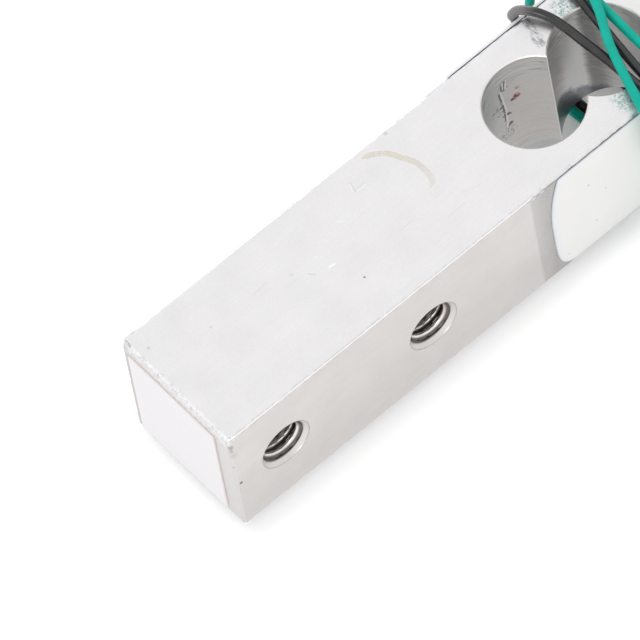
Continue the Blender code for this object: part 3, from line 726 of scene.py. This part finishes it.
def bore_paint():
    """Rings near the mouths, a painted dark reflection, the marked wall, a painted highlight on the
    cusp, and the rims.
    """
    paint = Paint("turned_bore", Metallic=0.75)
    fine = paint.noise(1, 3, paint.stretched(0.12, 0.12, 5.5), rough=0.5) - 0.5
    coarse = paint.noise(1, 2, paint.stretched(0.16, 0.16, 2.1)) - 0.5
    grain = paint.noise(5, 4, rough=0.75) - 0.5
    patch = paint.noise(0.5, 3) - 0.5
    mouth = paint.step(paint.up, 2.9, 5.4) + paint.step(paint.up, -4.2, -6.2) * 0.4
    rings = paint.step(abs(coarse), 0.045, 0.008) * mouth
    rim = paint.step(abs(paint.up), 6.22, 6.27)
    far_lobe = paint.step(paint.along, 0.02, -0.02) * -1 + 1
    back_wall = paint.step(paint.across, 1.9, 2.3)
    level = 0.81 + fine * (0.1 + mouth * 0.2) + grain * 0.12 + patch * 0.08 - rings * 0.26
    # painted shade towards the far left of the first lobe
    level = level * (1 - paint.step(paint.along, -3.0, -6.6) * 0.05)
    streaks, on_far = second_lobe(paint, level)
    level = level * (1 - far_lobe) + on_far * far_lobe
    ragged = (paint.noise(1.1, 4, rough=0.7) - 0.5) * 2.2
    low_line = paint.along * -0.75 - 1.7 + ragged
    # a painted dark, bluish reflection of the leads below, low on the second lobe's back wall
    painted_lead_reflection = paint.step(paint.up - low_line, 0.35, -0.5) * far_lobe * back_wall
    level = level * (1 - painted_lead_reflection * (0.58 + grain * 0.5))
    tint = paint.mix(mouth, (1.0, 0.965, 0.945), (1.0, 0.98, 0.97))
    tint = paint.mix(paint.step(paint.along, -3.4, -6.4), tint, (0.97, 1.0, 0.97))
    tint = paint.mix(painted_lead_reflection, tint, (0.92, 0.95, 1.04))
    body = marked_wall(paint, paint.vector("SCALE", tint, Scale=level))
    # a painted highlight along the sharp cusp between the lobes
    cusp_highlight = paint.step(abs(paint.along + 0.02), 0.045, 0.02) * back_wall
    body = paint.mix(cusp_highlight, body, (1.0, 1.0, 0.99))
    body = paint.mix(rim, body, (1.0, 0.93, 0.89))
    paint.set(Base_Color=body, Roughness=0.42 + patch * 0.12)
    paint.bump(fine + grain * 0.6 + streaks * far_lobe - rings * 0.6, 0.5, 0.03)
    return paint.material


turned = bore_paint()
print(turned.name, len(turned.node_tree.nodes), "nodes")

# %% [markdown]
# ## A box with rounded edges
#
# The bar is a plain box whose edges are broken by a small radius. A bevel modifier would
# round them too, but the worn edges need many vertices along each rounded strip and none on
# the flat faces. So the box is bevelled and divided here, and each flat face is joined again.

# %% A box with rounded edges
EDGE_STEPS = 9
CUTS_ALONG = 640
CUTS_ACROSS = 110


def rounded_box():
    bm = bmesh.new()
    bmesh.ops.create_cube(bm, size=1)
    bmesh.ops.scale(bm, vec=(BAR_LENGTH, BAR_WIDTH, BAR_HEIGHT), verts=bm.verts)
    bmesh.ops.bevel(
        bm,
        geom=bm.edges[:],
        offset=EDGE_RADIUS,
        segments=EDGE_STEPS,
        profile=0.5,
        affect="EDGES",
        clamp_overlap=False,
    )
    for whole, cuts in ((BAR_LENGTH, CUTS_ALONG), (BAR_WIDTH, CUTS_ACROSS)):
        strips = [edge for edge in bm.edges if 0.8 * whole < edge.calc_length() < 1.1 * whole]
        bmesh.ops.subdivide_edges(bm, edges=strips, cuts=cuts)
    flats = {}
    for face in bm.faces:
        axis = max(range(3), key=lambda index: abs(face.normal[index]))
        if abs(face.normal[axis]) > 0.99999:
            flats.setdefault((axis, face.normal[axis] > 0), []).append(face)
    for faces in flats.values():
        bmesh.ops.dissolve_faces(bm, faces=faces, use_verts=False)
    return bm


box = rounded_box()
print("the box has", len(box.verts), "vertices")

# %% [markdown]
# ## Dents and wear
#
# Handling has nicked the real edges, most of all at the bar's end and next to the first hole
# of the bore. A displacement would need a picture or a fine mesh everywhere. Here each vertex
# of a rounded strip is pushed in by the deepest dent near it, and by a faint ripple.

# %% Dents and wear
RIPPLE_MM = 0.012
FROM_CORNER_MM = 0.16  # the rounded strip lies this far inside the sharp corner


def dents():
    """Centres, radii and depths of the dents in the bar's edges, in millimetres."""
    pick = random.Random(11)
    made = []
    for across, up in ((-1, 1), (1, 1), (-1, -1), (1, -1)):
        deepest = 0.02 if across > 0 else 0.03
        for _ in range(70):
            centre = Vector((pick.uniform(-END_MM, END_MM), across * FACE_MM, up * TOP_MM))
            made.append((centre, pick.uniform(0.08, 0.24), pick.uniform(0.01, deepest)))
    for end in (-1, 1):
        for _ in range(70):
            centre = Vector((end * END_MM, pick.uniform(-6.2, 6.2), TOP_MM))
            made.append((centre, pick.uniform(0.1, 0.24), pick.uniform(0.02, 0.05)))
        for _ in range(24):
            side = pick.choice((-FACE_MM, FACE_MM))
            centre = Vector((end * END_MM, side, pick.uniform(-6.2, 6.2)))
            made.append((centre, pick.uniform(0.08, 0.22), pick.uniform(0.01, 0.03)))
    for along in (-9.0, -8.1, -5.1, -3.2, -1.8, -0.8, -0.2):
        made.append((Vector((along, -FACE_MM, TOP_MM)), 0.22, 0.06))
    made.append((Vector((-END_MM, -FACE_MM, TOP_MM)), 0.6, 0.12))
    made.append((Vector((-END_MM, FACE_MM, TOP_MM)), 1.0, 0.27))
    return made


def wear_edges(bm, marks):
    """Pushes each vertex of the rounded strips inwards, by its dents and by a fine ripple."""
    core = Vector((END, FACE, TOP)) - Vector((1, 1, 1)) * EDGE_RADIUS
    for vert in bm.verts:
        inner = Vector([max(-c, min(c, x)) for c, x in zip(core, vert.co)])
        out = vert.co - inner
        if out.length < EDGE_RADIUS * 0.5 or max(abs(x) for x in out.normalized()) > 0.996:
            continue
        spot = vert.co / MM
        push = RIPPLE_MM * (noise.noise(spot * 1.7) + 0.6 * noise.noise(spot * 5.3))
        deepest = 0
        for centre, radius, depth in marks:
            if abs(centre.x - spot.x) < radius * 1.5:
                near = (centre - spot).length - FROM_CORNER_MM
                if near < radius:
                    deepest = max(deepest, depth * (1 - max(0, near / radius) ** 2))
        vert.co += out.normalized() * (push - deepest) * MM


for face in box.faces:
    face.smooth = max(abs(x) for x in face.normal) < 0.9999
marks = dents()
wear_edges(box, marks)
print(len(marks), "dents in the edges")

# %% [markdown]
# ## Solids that cut the bar
#
# On the real bar the double bore goes through from top to bottom, with its rims lightly
# broken, and the tapped holes go through from side to side. Each cutter is a stack of rings of
# points, wider where a rim is broken. A lobe's outline stops where the two lobes meet, which
# leaves the sharp cusp between them.

# %% Solids that cut the bar
LOBE_STEPS = 72
HOLE_STEPS = 96
PAST = 1 * MM  # how far a cutter stands out of the bar
RIM_BREAK = 0.1 * MM
MOUTHS = {"m4": 2.35 * MM, "m5": 2.8 * MM}
HOLES = [
    (size, side * (END - HOLE_FROM_END - index * HOLE_PITCH))
    for side, size in ((-1, "m4"), (1, "m5"))
    for index in (0, 1)
]


def wall_solid(name, rows):
    """A closed solid through rings of points, with turned walls."""
    count = len(rows[0])
    last = (len(rows) - 1) * count
    faces = [tuple(reversed(range(count))), tuple(range(last, last + count))]
    for row in range(len(rows) - 1):
        for index in range(count):
            a, b = row * count + index, row * count + (index + 1) % count
            faces.append((a, b, b + count, a + count))
    obj = add_mesh(name, [point for row in rows for point in row], faces, turned)
    bm = bmesh.new()
    bm.from_mesh(obj.data)
    bmesh.ops.recalc_face_normals(bm, faces=bm.faces[:])
    bm.to_mesh(obj.data)
    bm.free()
    return obj


def lobes_outline(radius):
    """Points of the double bore's outline, from one cusp round to the other and back."""
    half = LOBE_SPACING / 2
    open_angle = math.acos(half / radius)
    points = []
    for side in (1, -1):
        for index in range(LOBE_STEPS):
            turn = open_angle + (2 * math.pi - 2 * open_angle) * index / LOBE_STEPS
            points.append((side * (half - radius * math.cos(turn)), -side * radius * math.sin(turn)))
    return points


def bore_cutter():
    outside = (TOP + PAST, PAST + RIM_BREAK)
    inside = (TOP - RIM_BREAK, 0)
    levels = [(-outside[0], outside[1]), (-inside[0], 0), inside, outside]
    rows = [[(x, y, z) for x, y in lobes_outline(LOBE_RADIUS + grow)] for z, grow in levels]
    return wall_solid("bore_cutter", rows)


def hole_cutter(size, along):
    radius = MOUTHS[size]
    ring = [(along + radius * math.cos(t), radius * math.sin(t)) for t in full_turn(HOLE_STEPS)]
    rows = [[(x, across, z) for x, z in ring] for across in (FACE + PAST, -FACE - PAST)]
    return wall_solid(f"{size}_cutter", rows)


cutters = [bore_cutter()] + [hole_cutter(size, along) for size, along in HOLES]
print([cutter.name for cutter in cutters])

# %% [markdown]
# ## Cutting the bar
#
# The bore and the holes could be modelled into one mesh by hand, but cutting them is how the
# real bar is made. Each cutter hands its own finish to the wall that it leaves. Flat faces
# are shaded flat, so that the long ones show no false gradient.

# %% Cutting the bar
SHARP = math.radians(38)  # a corner sharper than this shows as an edge


def finished(obj):
    """The object's mesh with its modifiers applied."""
    bpy.context.view_layer.update()
    graph = bpy.context.evaluated_depsgraph_get()
    mesh = bpy.data.meshes.new_from_object(obj.evaluated_get(graph))
    obj.modifiers.clear()
    obj.data = mesh
    return mesh


bar_mesh = bpy.data.meshes.new("bar_body")
box.to_mesh(bar_mesh)
box.free()
bar_mesh.materials.append(aluminium)
bar = add_object("bar_body", bar_mesh)
for cutter in cutters:
    cut = bar.modifiers.new(cutter.name, "BOOLEAN")
    cut.operation = "DIFFERENCE"
    cut.object = cutter
    cut.material_mode = "TRANSFER"
mesh = finished(bar)
mesh.set_sharp_from_angle(angle=SHARP)
for polygon in mesh.polygons:
    if max(abs(x) for x in polygon.normal) > 0.99995:
        polygon.use_smooth = False
for cutter in cutters:
    bpy.data.objects.remove(cutter, do_unlink=True)
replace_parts(place(bar, "bar"), "spring_element")
print("bar", len(mesh.polygons), "faces")

# %% [markdown]
# ## The metal of the threads
#
# A tapped hole is stained in patches, painted shade darkens the roots between the crests of
# its thread, most in its first turns, and it is clean on the countersink at its mouth. Two
# materials on chosen faces would end in hard steps. Here the distance from the hole's axis
# tells a root from a crest, and the depth finds the mouth.

# %% The metal of the threads
HOLE_MIDDLE_MM = (END - HOLE_FROM_END - HOLE_PITCH / 2) / MM  # from the middle, for each pair
HOLE_APART_MM = HOLE_PITCH / 2 / MM
THREAD_GROWTH_MM = 0.45  # how much wider the threads at the fixed end are


def thread_paint():
    """Roots in painted shade, darkest in the first turns, stained patches, paler crests, and a clean
    countersink at each mouth.
    """
    paint = Paint("cut_thread", Metallic=1.0)
    stain = paint.step(paint.noise(0.8, 3), 0.4, 0.65)
    beside = abs(abs(paint.along) - HOLE_MIDDLE_MM) - HOLE_APART_MM
    out = (beside * beside + paint.up * paint.up) ** 0.5
    root = paint.step(out - paint.step(paint.along, -1, 1) * THREAD_GROWTH_MM, 1.72, 1.9)
    sink = paint.step(abs(paint.across), 5.93, 6.03) * (1 - paint.step(out, 2.02, 1.98) * 0.8)
    deep = paint.mix(stain, (0.82, 0.8, 0.79), (0.72, 0.66, 0.61))
    first_turns = paint.step(abs(paint.across), 4.6, 5.4)
    # painted shade in the roots, darker still in the first turns
    deep = paint.mix(root, deep, (0.37, 0.33, 0.31))
    deep = paint.mix(root * first_turns, deep, (0.14, 0.125, 0.115))
    paint.set(Base_Color=paint.mix(sink, deep, (0.68, 0.655, 0.635)))
    paint.set(Roughness=0.28 + stain * 0.12 + sink * 0.14)
    paint.bump(paint.noise(9, 3), 0.3, 0.01)
    return paint.material


threaded = thread_paint()
print(threaded.name, len(threaded.node_tree.nodes), "nodes")

# %% [markdown]
# ## Threads
#
# The thread of a tapped hole is a real helix, and a countersink cuts its first turns away. A
# bump pattern would look flat at this slant.
# So a sleeve lines the hole, and its radius at each angle and depth is worked out: the
# thread's own, or the countersink's where that is wider.

# %% Threads
THREADS = {  # radius at the crests and at the roots, and pitch
    "m4": (1.65 * MM, 2.03 * MM, 0.7 * MM),
    "m5": (2.1 * MM, 2.53 * MM, 0.8 * MM),
}
THREAD_START = 0.8  # of a turn
THREAD_COLUMNS = 96
THREAD_ROWS = 254  # 0.05 mm each


def thread_radius(size, turn, across):
    """The wall's radius at this angle and depth: thread, or countersink where that is wider."""
    minor, major, pitch = THREADS[size]
    share = (across / pitch - turn / (2 * math.pi) + THREAD_START) % 1
    from_root = min(share, 1 - share)
    thread = major + (minor - major) * min(1, max(0, (from_root - 0.07) / 0.3))
    depth = FACE - abs(across)
    return max(thread, MOUTHS[size] - max(0, depth - 0.04 * MM) * 0.95)


def thread_sleeve(name, size, along):
    """Rings of the thread, closed by a plain shell just outside the hole."""
    turns = full_turn(THREAD_COLUMNS)
    rings = []
    for row in range(THREAD_ROWS + 1):
        across = -FACE + BAR_WIDTH * row / THREAD_ROWS
        rings.append([(thread_radius(size, turn, across), across) for turn in turns])
    shell = MOUTHS[size] + 0.012 * MM
    rings += [[(shell, FACE)] * THREAD_COLUMNS, [(shell, -FACE)] * THREAD_COLUMNS]
    vertices = []
    for ring in rings:
        for turn, (radius, across) in zip(turns, ring):
            vertices.append((along + radius * math.sin(turn), across, radius * math.cos(turn)))
    faces = []
    for first in range(0, len(vertices), THREAD_COLUMNS):
        for column in range(THREAD_COLUMNS):
            a, b = first + column, first + (column + 1) % THREAD_COLUMNS
            c, d = [(index + THREAD_COLUMNS) % len(vertices) for index in (b, a)]
            faces.append((a, b, c, d))
    sleeve = add_mesh(name, vertices, faces, threaded)
    sleeve.data.set_sharp_from_angle(angle=math.radians(50))
    return place(sleeve, "bar")


for index, (size, along) in enumerate(HOLES):
    sleeve = thread_sleeve(f"{size}_thread_{index % 2 + 1}", size, along)
    print(sleeve.name, len(sleeve.data.polygons), "faces")

# %% [markdown]
# ## A trace of glue
#
# Some glue dried in an arc on the real top face. It could be one more mark of the metal's
# paint, but it has its own gloss and a raised edge. It is a film, so a thin ribbon along a
# curve is enough, and its paint lets the metal through in places.

# %% A trace of glue
GLUE_ARC_MM = (
    (-16.2, 5.5),
    (-15.7, 5.36),
    (-14.6, 4.62),
    (-13.98, 3.54),
    (-13.45, 2.4),
    (-13.36, 1.33),
    (-13.56, 0.28),
    (-14.1, -0.15),
)
GLUE_WIDTH_MM = 0.5
GLUE_STEPS = 8  # between two points of the arc


def glue_paint():
    paint = Paint("dried_glue", Roughness=0.4, Specular_IOR_Level=0.4)
    patch = paint.noise(1.4, 4)
    paint.set(Base_Color=paint.mix(patch, (0.84, 0.78, 0.66), (0.9, 0.86, 0.78)))
    faded = paint.step(paint.across, 0.4, 3.4)
    paint.set(Alpha=paint.step(patch, 0.18, 0.5) * (0.26 + faded * 0.34))
    paint.bump(patch, 0.3, 0.02)
    return paint.material


def glue_ribbon():
    """Four points across the arc at each step, narrower at its two ends."""
    points = [Vector((x, y, 0)) * MM for x, y in GLUE_ARC_MM]
    line = []
    for index in range(len(points) - 1):
        line += [span(points, index, share / GLUE_STEPS) for share in range(GLUE_STEPS)]
    line.append(points[-1])
    vertices = []
    for index, point in enumerate(line):
        ahead = (line[min(index + 1, len(line) - 1)] - line[max(index - 1, 0)]).normalized()
        side = ahead.cross(Vector((0, 0, 1)))
        share = index / (len(line) - 1)
        half = GLUE_WIDTH_MM * MM / 2 * min(1, 6 * (1 - share) + 0.2, 6 * share + 0.2)
        ragged = 0.04 * MM * noise.noise(point / MM * 3)
        rim, crown = 0.002, 0.012
        across_line = (-half - ragged, -half * 0.6, half * 0.6, half - ragged)
        for across, up in zip(across_line, (rim, crown, crown, rim)):
            spot = point + side * across
            vertices.append((spot.x, spot.y, TOP + up * MM))
    faces = [
        (row * 4 + c, row * 4 + c + 1, row * 4 + c + 5, row * 4 + c + 4)
        for row in range(len(line) - 1)
        for c in range(3)
    ]
    return add_mesh("glue_trace", vertices, faces, glue_paint())


glue = place(glue_ribbon(), "silicone")
print("glue trace", len(glue.data.polygons), "faces")

# %% [markdown]
# ## The shape of the silicone
#
# White silicone is smeared over each gauged face: a low dome, with a hump over the terminal
# strip. It could be sculpted, but its outline and depth also have to stay inside the solid.
# Both are sums here. The outline is round at the top and nearly square at the bottom.

# %% The shape of the silicone
POTTING_CROWN_MM = 0.9
POTTING_LIMITS_MM = {1: 6.22, -1: 6.03}  # above and below the middle of the face
HUMP_MM = (7.6, 2.3, 4.0)  # centre along the bar, half length, half height
POTTING_HALF_LENGTH_MM = 7.85
CORNERS = {  # half height and squareness of the outline, in its upper and lower half
    1: (11.5, 2),
    -1: (6.5, 6),
}
FARTHEST_MM = 11.0
SEARCH_STEP_MM = 0.01


def potting_reach(x, z):
    """How far out a point is on the dome and on the hump: 1 is on the outline."""
    half = 1 if z > 0 else -1
    half_height, power = CORNERS[half]
    dome = abs(x / POTTING_HALF_LENGTH_MM) ** power + abs(z / half_height) ** power
    hump = math.hypot((x - HUMP_MM[0]) / HUMP_MM[1], z / HUMP_MM[2])
    return max(dome ** (1 / power), abs(z) / POTTING_LIMITS_MM[half]), hump


def potting_depth(x, z, hump_crown, share, steep):
    """Depth of the silicone at a point that is this share of the way to the outline."""
    hump = potting_reach(x, z)[1]
    low = POTTING_CROWN_MM * max(0, 1 - share * share) ** (0.7 - steep * max(0, z / TOP * MM))
    high = hump_crown * math.sqrt(max(0, 1 - hump * hump))
    return (low**4 + high**4) ** 0.25


def potting_edge(turn):
    """Distance from the dome's centre to its outline in this direction."""
    far = FARTHEST_MM
    while min(potting_reach(far * math.cos(turn), far * math.sin(turn))) > 1:
        far -= SEARCH_STEP_MM
    return far


print("the dome reaches", round(potting_edge(math.pi), 2), "mm towards the visible end")

# %% [markdown]
# ## White silicone
#
# The silicone is white and soft, with a few dark specks and painted shade along its lower rim.
# Where it is thin it lets the metal show, and a painted bluish sheen lies along its rim. Real
# scattering would be slow and noisy for so thin a layer, so each vertex carries its depth, and
# the paint reads that.

# %% White silicone
SILICONE_SPECKS = (
    ((-4.3, -7.0, 3.4), 0.12),
    ((-2.9, -7.2, 1.6), 0.1),
    ((-4.2, -7.1, -1.9), 0.11),
    ((-6.9, -6.6, -4.4), 0.1),
    ((-7.3, -6.5, -3.6), 0.08),
    ((-2.6, -7.2, 4.6), 0.07),
)


def silicone_paint():
    paint = Paint("white_silicone", Roughness=0.36, IOR=1.42, Specular_IOR_Level=0.35)
    depth = paint.node("ShaderNodeAttribute", {"attribute_name": "depth"}, output="Fac")
    thin_rim_sheen = paint.step(depth, 0.26, 0.04)
    cloud = paint.noise(0.4, 3)
    body = paint.mix(cloud, (0.88, 0.875, 0.855), (0.9, 0.895, 0.88))
    for centre, radius in SILICONE_SPECKS:
        body = paint.mix(paint.spot(centre, radius, 0.6) * 0.7, body, (0.42, 0.4, 0.38))
    # a painted bluish sheen where the silicone is thin, along its rim
    body = paint.mix(thin_rim_sheen, body, (0.82, 0.845, 0.885))
    # painted shade along the silicone's lower rim
    lower_rim_shade = paint.step(paint.up, -5.45, -5.75) * (0.4 + paint.step(paint.along, -7, -1) * 0.5)
    paint.set(Base_Color=paint.mix(lower_rim_shade, body, (0.34, 0.34, 0.345)))
    paint.set(Alpha=paint.step(depth, -0.08, 0.1))
    paint.bump(paint.noise(1.2, 3) + paint.noise(0.35, 2) * 3, 0.12, 0.05)
    return paint.material


silicone = silicone_paint()
print(silicone.name, len(silicone.node_tree.nodes), "nodes")

# %% [markdown]
# ## The two domes
#
# Each dome is a fan of rings from its centre to its outline. A grid would leave a ragged rim,
# and rings follow the outline exactly. They lie closer together near the rim, where the
# surface turns down.

# %% The two domes
SKIN_RINGS = 46
SKIN_COLUMNS = 168
SKIN_LIFT_MM = 0.02


def silicone_skin(face_name, side, hump_crown, steep):
    depths = [potting_depth(0, 0, hump_crown, 0, steep)]
    vertices = [(0, side * (FACE + depths[0] * MM), 0)]
    edges = [(turn, potting_edge(turn)) for turn in full_turn(SKIN_COLUMNS)]
    for ring in range(1, SKIN_RINGS + 1):
        share = 1 - (1 - ring / SKIN_RINGS) ** 2
        for turn, reach in edges:
            x, z = share * reach * math.cos(turn), share * reach * math.sin(turn)
            depth = potting_depth(x, z, hump_crown, share, steep) if ring < SKIN_RINGS else 0
            ripple = 0.03 * depth * noise.noise(Vector((x, z, side)) * 0.45)
            vertices.append((x * MM, side * (FACE + (SKIN_LIFT_MM + depth + ripple) * MM), z * MM))
            depths.append(depth)
    faces = [(0, 1 + c, 1 + (c + 1) % SKIN_COLUMNS) for c in range(SKIN_COLUMNS)]
    for ring in range(SKIN_RINGS - 1):
        for column in range(SKIN_COLUMNS):
            first = 1 + ring * SKIN_COLUMNS
            a, b = first + column, first + (column + 1) % SKIN_COLUMNS
            faces.append((a, a + SKIN_COLUMNS, b + SKIN_COLUMNS, b))
    faces.append(tuple(range(len(vertices) - SKIN_COLUMNS, len(vertices))))
    if side > 0:
        faces = [tuple(reversed(face)) for face in faces]
    skin = add_mesh(f"potting_{face_name}_skin", vertices, faces, silicone)
    skin.data.polygons[-1].use_smooth = False
    attribute = skin.data.attributes.new("depth", "FLOAT", "POINT")
    attribute.data.foreach_set("value", depths)
    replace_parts(place(skin, "silicone"), f"potting_{face_name}")
    return skin


for face_name, side, crown, steep in (("front", -1, 1.5, 0), ("back", 1, 0.9, 0.4)):
    skin = silicone_skin(face_name, side, crown, steep)
    print(skin.name, len(skin.data.polygons), "faces")

# %% [markdown]
# ## The paper label
#
# A blank sheet of paper is glued to the end of the bar, browned along two cut edges. Its solid
# stops a hair short of the metal, and that gap shows as a dark line. So a sheet that reaches
# the metal takes its place, with small round corners and a softened edge.

# %% The paper label
LABEL_CORNER_MM = 0.15
LABEL_SOFTNESS_MM = 0.03
LABEL_BACK_MARGIN_MM = 0.12  # how much narrower than its solid it is at the back
LABEL_SINK_MM = 0.01  # its glued side lies this deep in the metal
CORNER_STEPS = 6


def paper_paint():
    """Paper with a browned cut edge at its top and front, and a bluish one at its bottom."""
    paint = Paint("white_paper", Roughness=0.75)
    fibre = paint.noise(9, 4) - 0.5
    browned = paint.step(paint.up, LABEL_TOP_MM - 0.04, LABEL_TOP_MM + 0.03)
    browned = browned + paint.step(paint.across, -4.35, -4.42)
    bluish = paint.step(paint.up, -5.82, -5.92) + paint.step(paint.across, 5.56, 5.61)
    body = paint.mix(fibre + 0.5, (0.86, 0.845, 0.86), (0.88, 0.865, 0.88))
    body = paint.mix(bluish * 0.8, body, (0.5, 0.52, 0.62))
    paint.set(Base_Color=paint.mix(browned * 0.32, body, (0.88, 0.7, 0.58)))
    paint.bump(fibre, 0.2, 0.01)
    return paint.material


def paper_label():
    """Three rings of points: against the metal, at the edge, and the softened front."""
    low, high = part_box("end_label")
    corner = LABEL_CORNER_MM * MM
    rows = []
    for along, inset in (
        (-END + LABEL_SINK_MM * MM, 0),
        (low[0] + LABEL_SOFTNESS_MM * MM, 0),
        (low[0], LABEL_SOFTNESS_MM * MM),
    ):
        ring = []
        for quarter, (across, up) in enumerate(((1, 1), (-1, 1), (-1, -1), (1, -1))):
            side = high[1] - LABEL_BACK_MARGIN_MM * MM if across > 0 else low[1]
            level = high[2] if up > 0 else low[2]
            centre = (side - across * corner, level - up * corner)
            for index in range(CORNER_STEPS + 1):
                turn = math.pi / 2 * (quarter + index / CORNER_STEPS)
                reach = corner - inset
                y = centre[0] + reach * math.cos(turn)
                z = centre[1] + reach * math.sin(turn)
                ring.append((along, y, z))
        rows.append(ring)
    sheet = wall_solid("paper_label", rows)
    sheet.data.materials[0] = paper_paint()
    for polygon in sheet.data.polygons:
        polygon.use_smooth = False
    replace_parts(place(sheet, "paper"), "end_label")
    return sheet


print(paper_label().name, "made")

# %% [markdown]
# ## Gauges, solder and fine wires
#
# Under the silicone are foil gauges on amber film, green terminal strips, solder and fine
# enamelled wires, and each lead ends in tinned copper. Hardly any of it can be seen, so the
# solids are kept as they are, and one recipe with two close colours makes all the finishes.


# %% Gauges, solder and fine wires
def plain_paint(name, first, second, roughness, metallic=0.0, scale=3.0):
    """Two close colours in fine patches, with a little relief."""
    paint = Paint(name, Metallic=metallic)
    patch = paint.noise(scale, 4)
    paint.set(Base_Color=paint.mix(patch, first, second))
    paint.set(Roughness=roughness + (patch - 0.5) * 0.2)
    paint.bump(patch, 0.25, 0.02)
    return paint.material


amber = plain_paint("amber_polyimide", (0.5, 0.22, 0.03), (0.6, 0.3, 0.05), 0.4)
foil = plain_paint("copper_nickel_foil", (0.62, 0.52, 0.4), (0.7, 0.6, 0.48), 0.35, 1.0)
laminate = plain_paint("terminal_laminate", (0.1, 0.27, 0.14), (0.14, 0.33, 0.18), 0.5)
solder = plain_paint("bright_solder", (0.68, 0.68, 0.7), (0.76, 0.76, 0.78), 0.25, 1.0)
enamel = plain_paint("enamelled_copper", (0.45, 0.13, 0.04), (0.55, 0.19, 0.06), 0.35, 0.6)
tinned = plain_paint("tinned_copper", (0.62, 0.62, 0.62), (0.78, 0.78, 0.78), 0.3, 1.0, 8)
finishes = {  # how the names of the nodes start, with the slot and the finish of each
    "gauge_carrier": ("carrier", amber),
    "gauge_grid": ("foil", foil),
    "terminal_strip": ("strip", laminate),
    "solder": ("solder", solder),
    "jumper": ("enamel", enamel),
    "link_wire": ("enamel", enamel),
    "black_lead_": ("tinned", tinned),
    "green_lead_": ("tinned", tinned),
}
for name, node in nodes.items():
    for start, (slot, material) in finishes.items():
        if name.startswith(start) and not node.hide_render:
            node.data.materials.clear()
            node.data.materials.append(material)
print(len(finishes), "kinds of small parts finished")

# %% [markdown]
# ## The table
#
# The bar lies on a plain white sheet that is washed out to pure white in the photograph. A
# brighter lamp would do that too, but it would also bleach the metal. So the sheet glows a
# little, more to the camera and to shiny pieces than to matt ones, and hardly under the bar.

# %% The table
TABLE_HEIGHT = -7.25 * MM
TABLE_HALF = 1.2


def table_paint():
    """White to the camera, but not under the bar. Metal sees some light from under the bar."""
    paint = Paint("table", Roughness=0.9, Specular_IOR_Level=0.1)
    camera_ray = paint.node("ShaderNodeLightPath", output="Is Camera Ray")
    glossy_ray = paint.node("ShaderNodeLightPath", output="Is Glossy Ray")
    through_ray = paint.node("ShaderNodeLightPath", output="Is Transmission Ray")
    under = paint.step(abs(paint.along), 41, 39) * paint.step(abs(paint.across), 9, 5)
    shown = (camera_ray + glossy_ray + through_ray) * (1 - under) * 0.3
    shade = paint.step(paint.along, 0.5, -1.5) * 0.09
    shown = shown + glossy_ray * under * 0.35 + camera_ray * under * (0.13 - shade)
    fleck = paint.noise(0.02, 2)
    paint.set(Base_Color=paint.mix(fleck, (0.86, 0.86, 0.86), (0.88, 0.88, 0.88)))
    paint.set(Emission_Strength=1.0)
    paint.set(Emission_Color=paint.mix(shown, (0, 0, 0), (1.0, 1.0, 1.0)))
    return paint.material


square = ((-1, -1), (1, -1), (1, 1), (-1, 1))
corners = [(x * TABLE_HALF, y * TABLE_HALF, TABLE_HEIGHT) for x, y in square]
table = add_mesh("table", corners, [(0, 1, 2, 3)], table_paint(), smooth=False)
print(table.name, 2 * TABLE_HALF, "m across")

# %% [markdown]
# ## White all round
#
# The photograph was taken in soft light from all sides. A lit room or a picture of one would do
# it, but a plain white world is the simplest that does. It lights matt surfaces a little less
# than it shows itself to the camera and in reflections.

# %% White all round
SOFT_STRENGTH = 0.88  # for matt surfaces; seen directly it is 1

world = bpy.data.worlds.new("soft_white")
bpy.context.scene.world = world
world.use_nodes = True
sky = Nodes(world.node_tree)
background = world.node_tree.nodes["Background"]
background.inputs["Color"].default_value = (1.0, 1.0, 1.0, 1)
strength = SOFT_STRENGTH
for ray in ("Is Camera Ray", "Is Glossy Ray", "Is Transmission Ray"):
    strength = sky.node("ShaderNodeLightPath", output=ray).math("MAXIMUM", strength)
sky.tree.links.new(strength.socket, background.inputs["Strength"])
print("white all round, at", SOFT_STRENGTH)

# %% [markdown]
# ## Two soft lamps
#
# The real light is a little stronger from the left and from behind, which shows in the domes
# and in the tubes of the leads. Two square lamps do that. They could be larger and nearer, but
# small weak ones change the shapes' shading and leave the white round them alone.

# %% Two soft lamps
LAMP_FAR = 0.6


def soft_light(name, toward, size, power):
    """A square light that stands off from the bar in a direction and faces its middle."""
    light = bpy.data.lights.new(name, "AREA")
    light.shape = "SQUARE"
    light.size = size
    light.energy = power
    obj = add_object(name, light)
    direction = Vector(toward).normalized()
    obj.location = direction * LAMP_FAR
    obj.rotation_mode = "QUATERNION"
    obj.rotation_quaternion = direction.to_track_quat("Z", "Y")
    return obj


soft_light("key", (-0.8, -0.5, 0.75), 0.24, 0.7)
soft_light("window", (0.45, 0.9, 0.3), 0.3, 0.5)
print("two lamps,", LAMP_FAR, "m from the bar")

# %% [markdown]
# ## Finish
#
# The colours above are meant to be seen as they are, so no film look is laid over them.

# %% Finish
bpy.context.scene.view_settings.view_transform = "Standard"
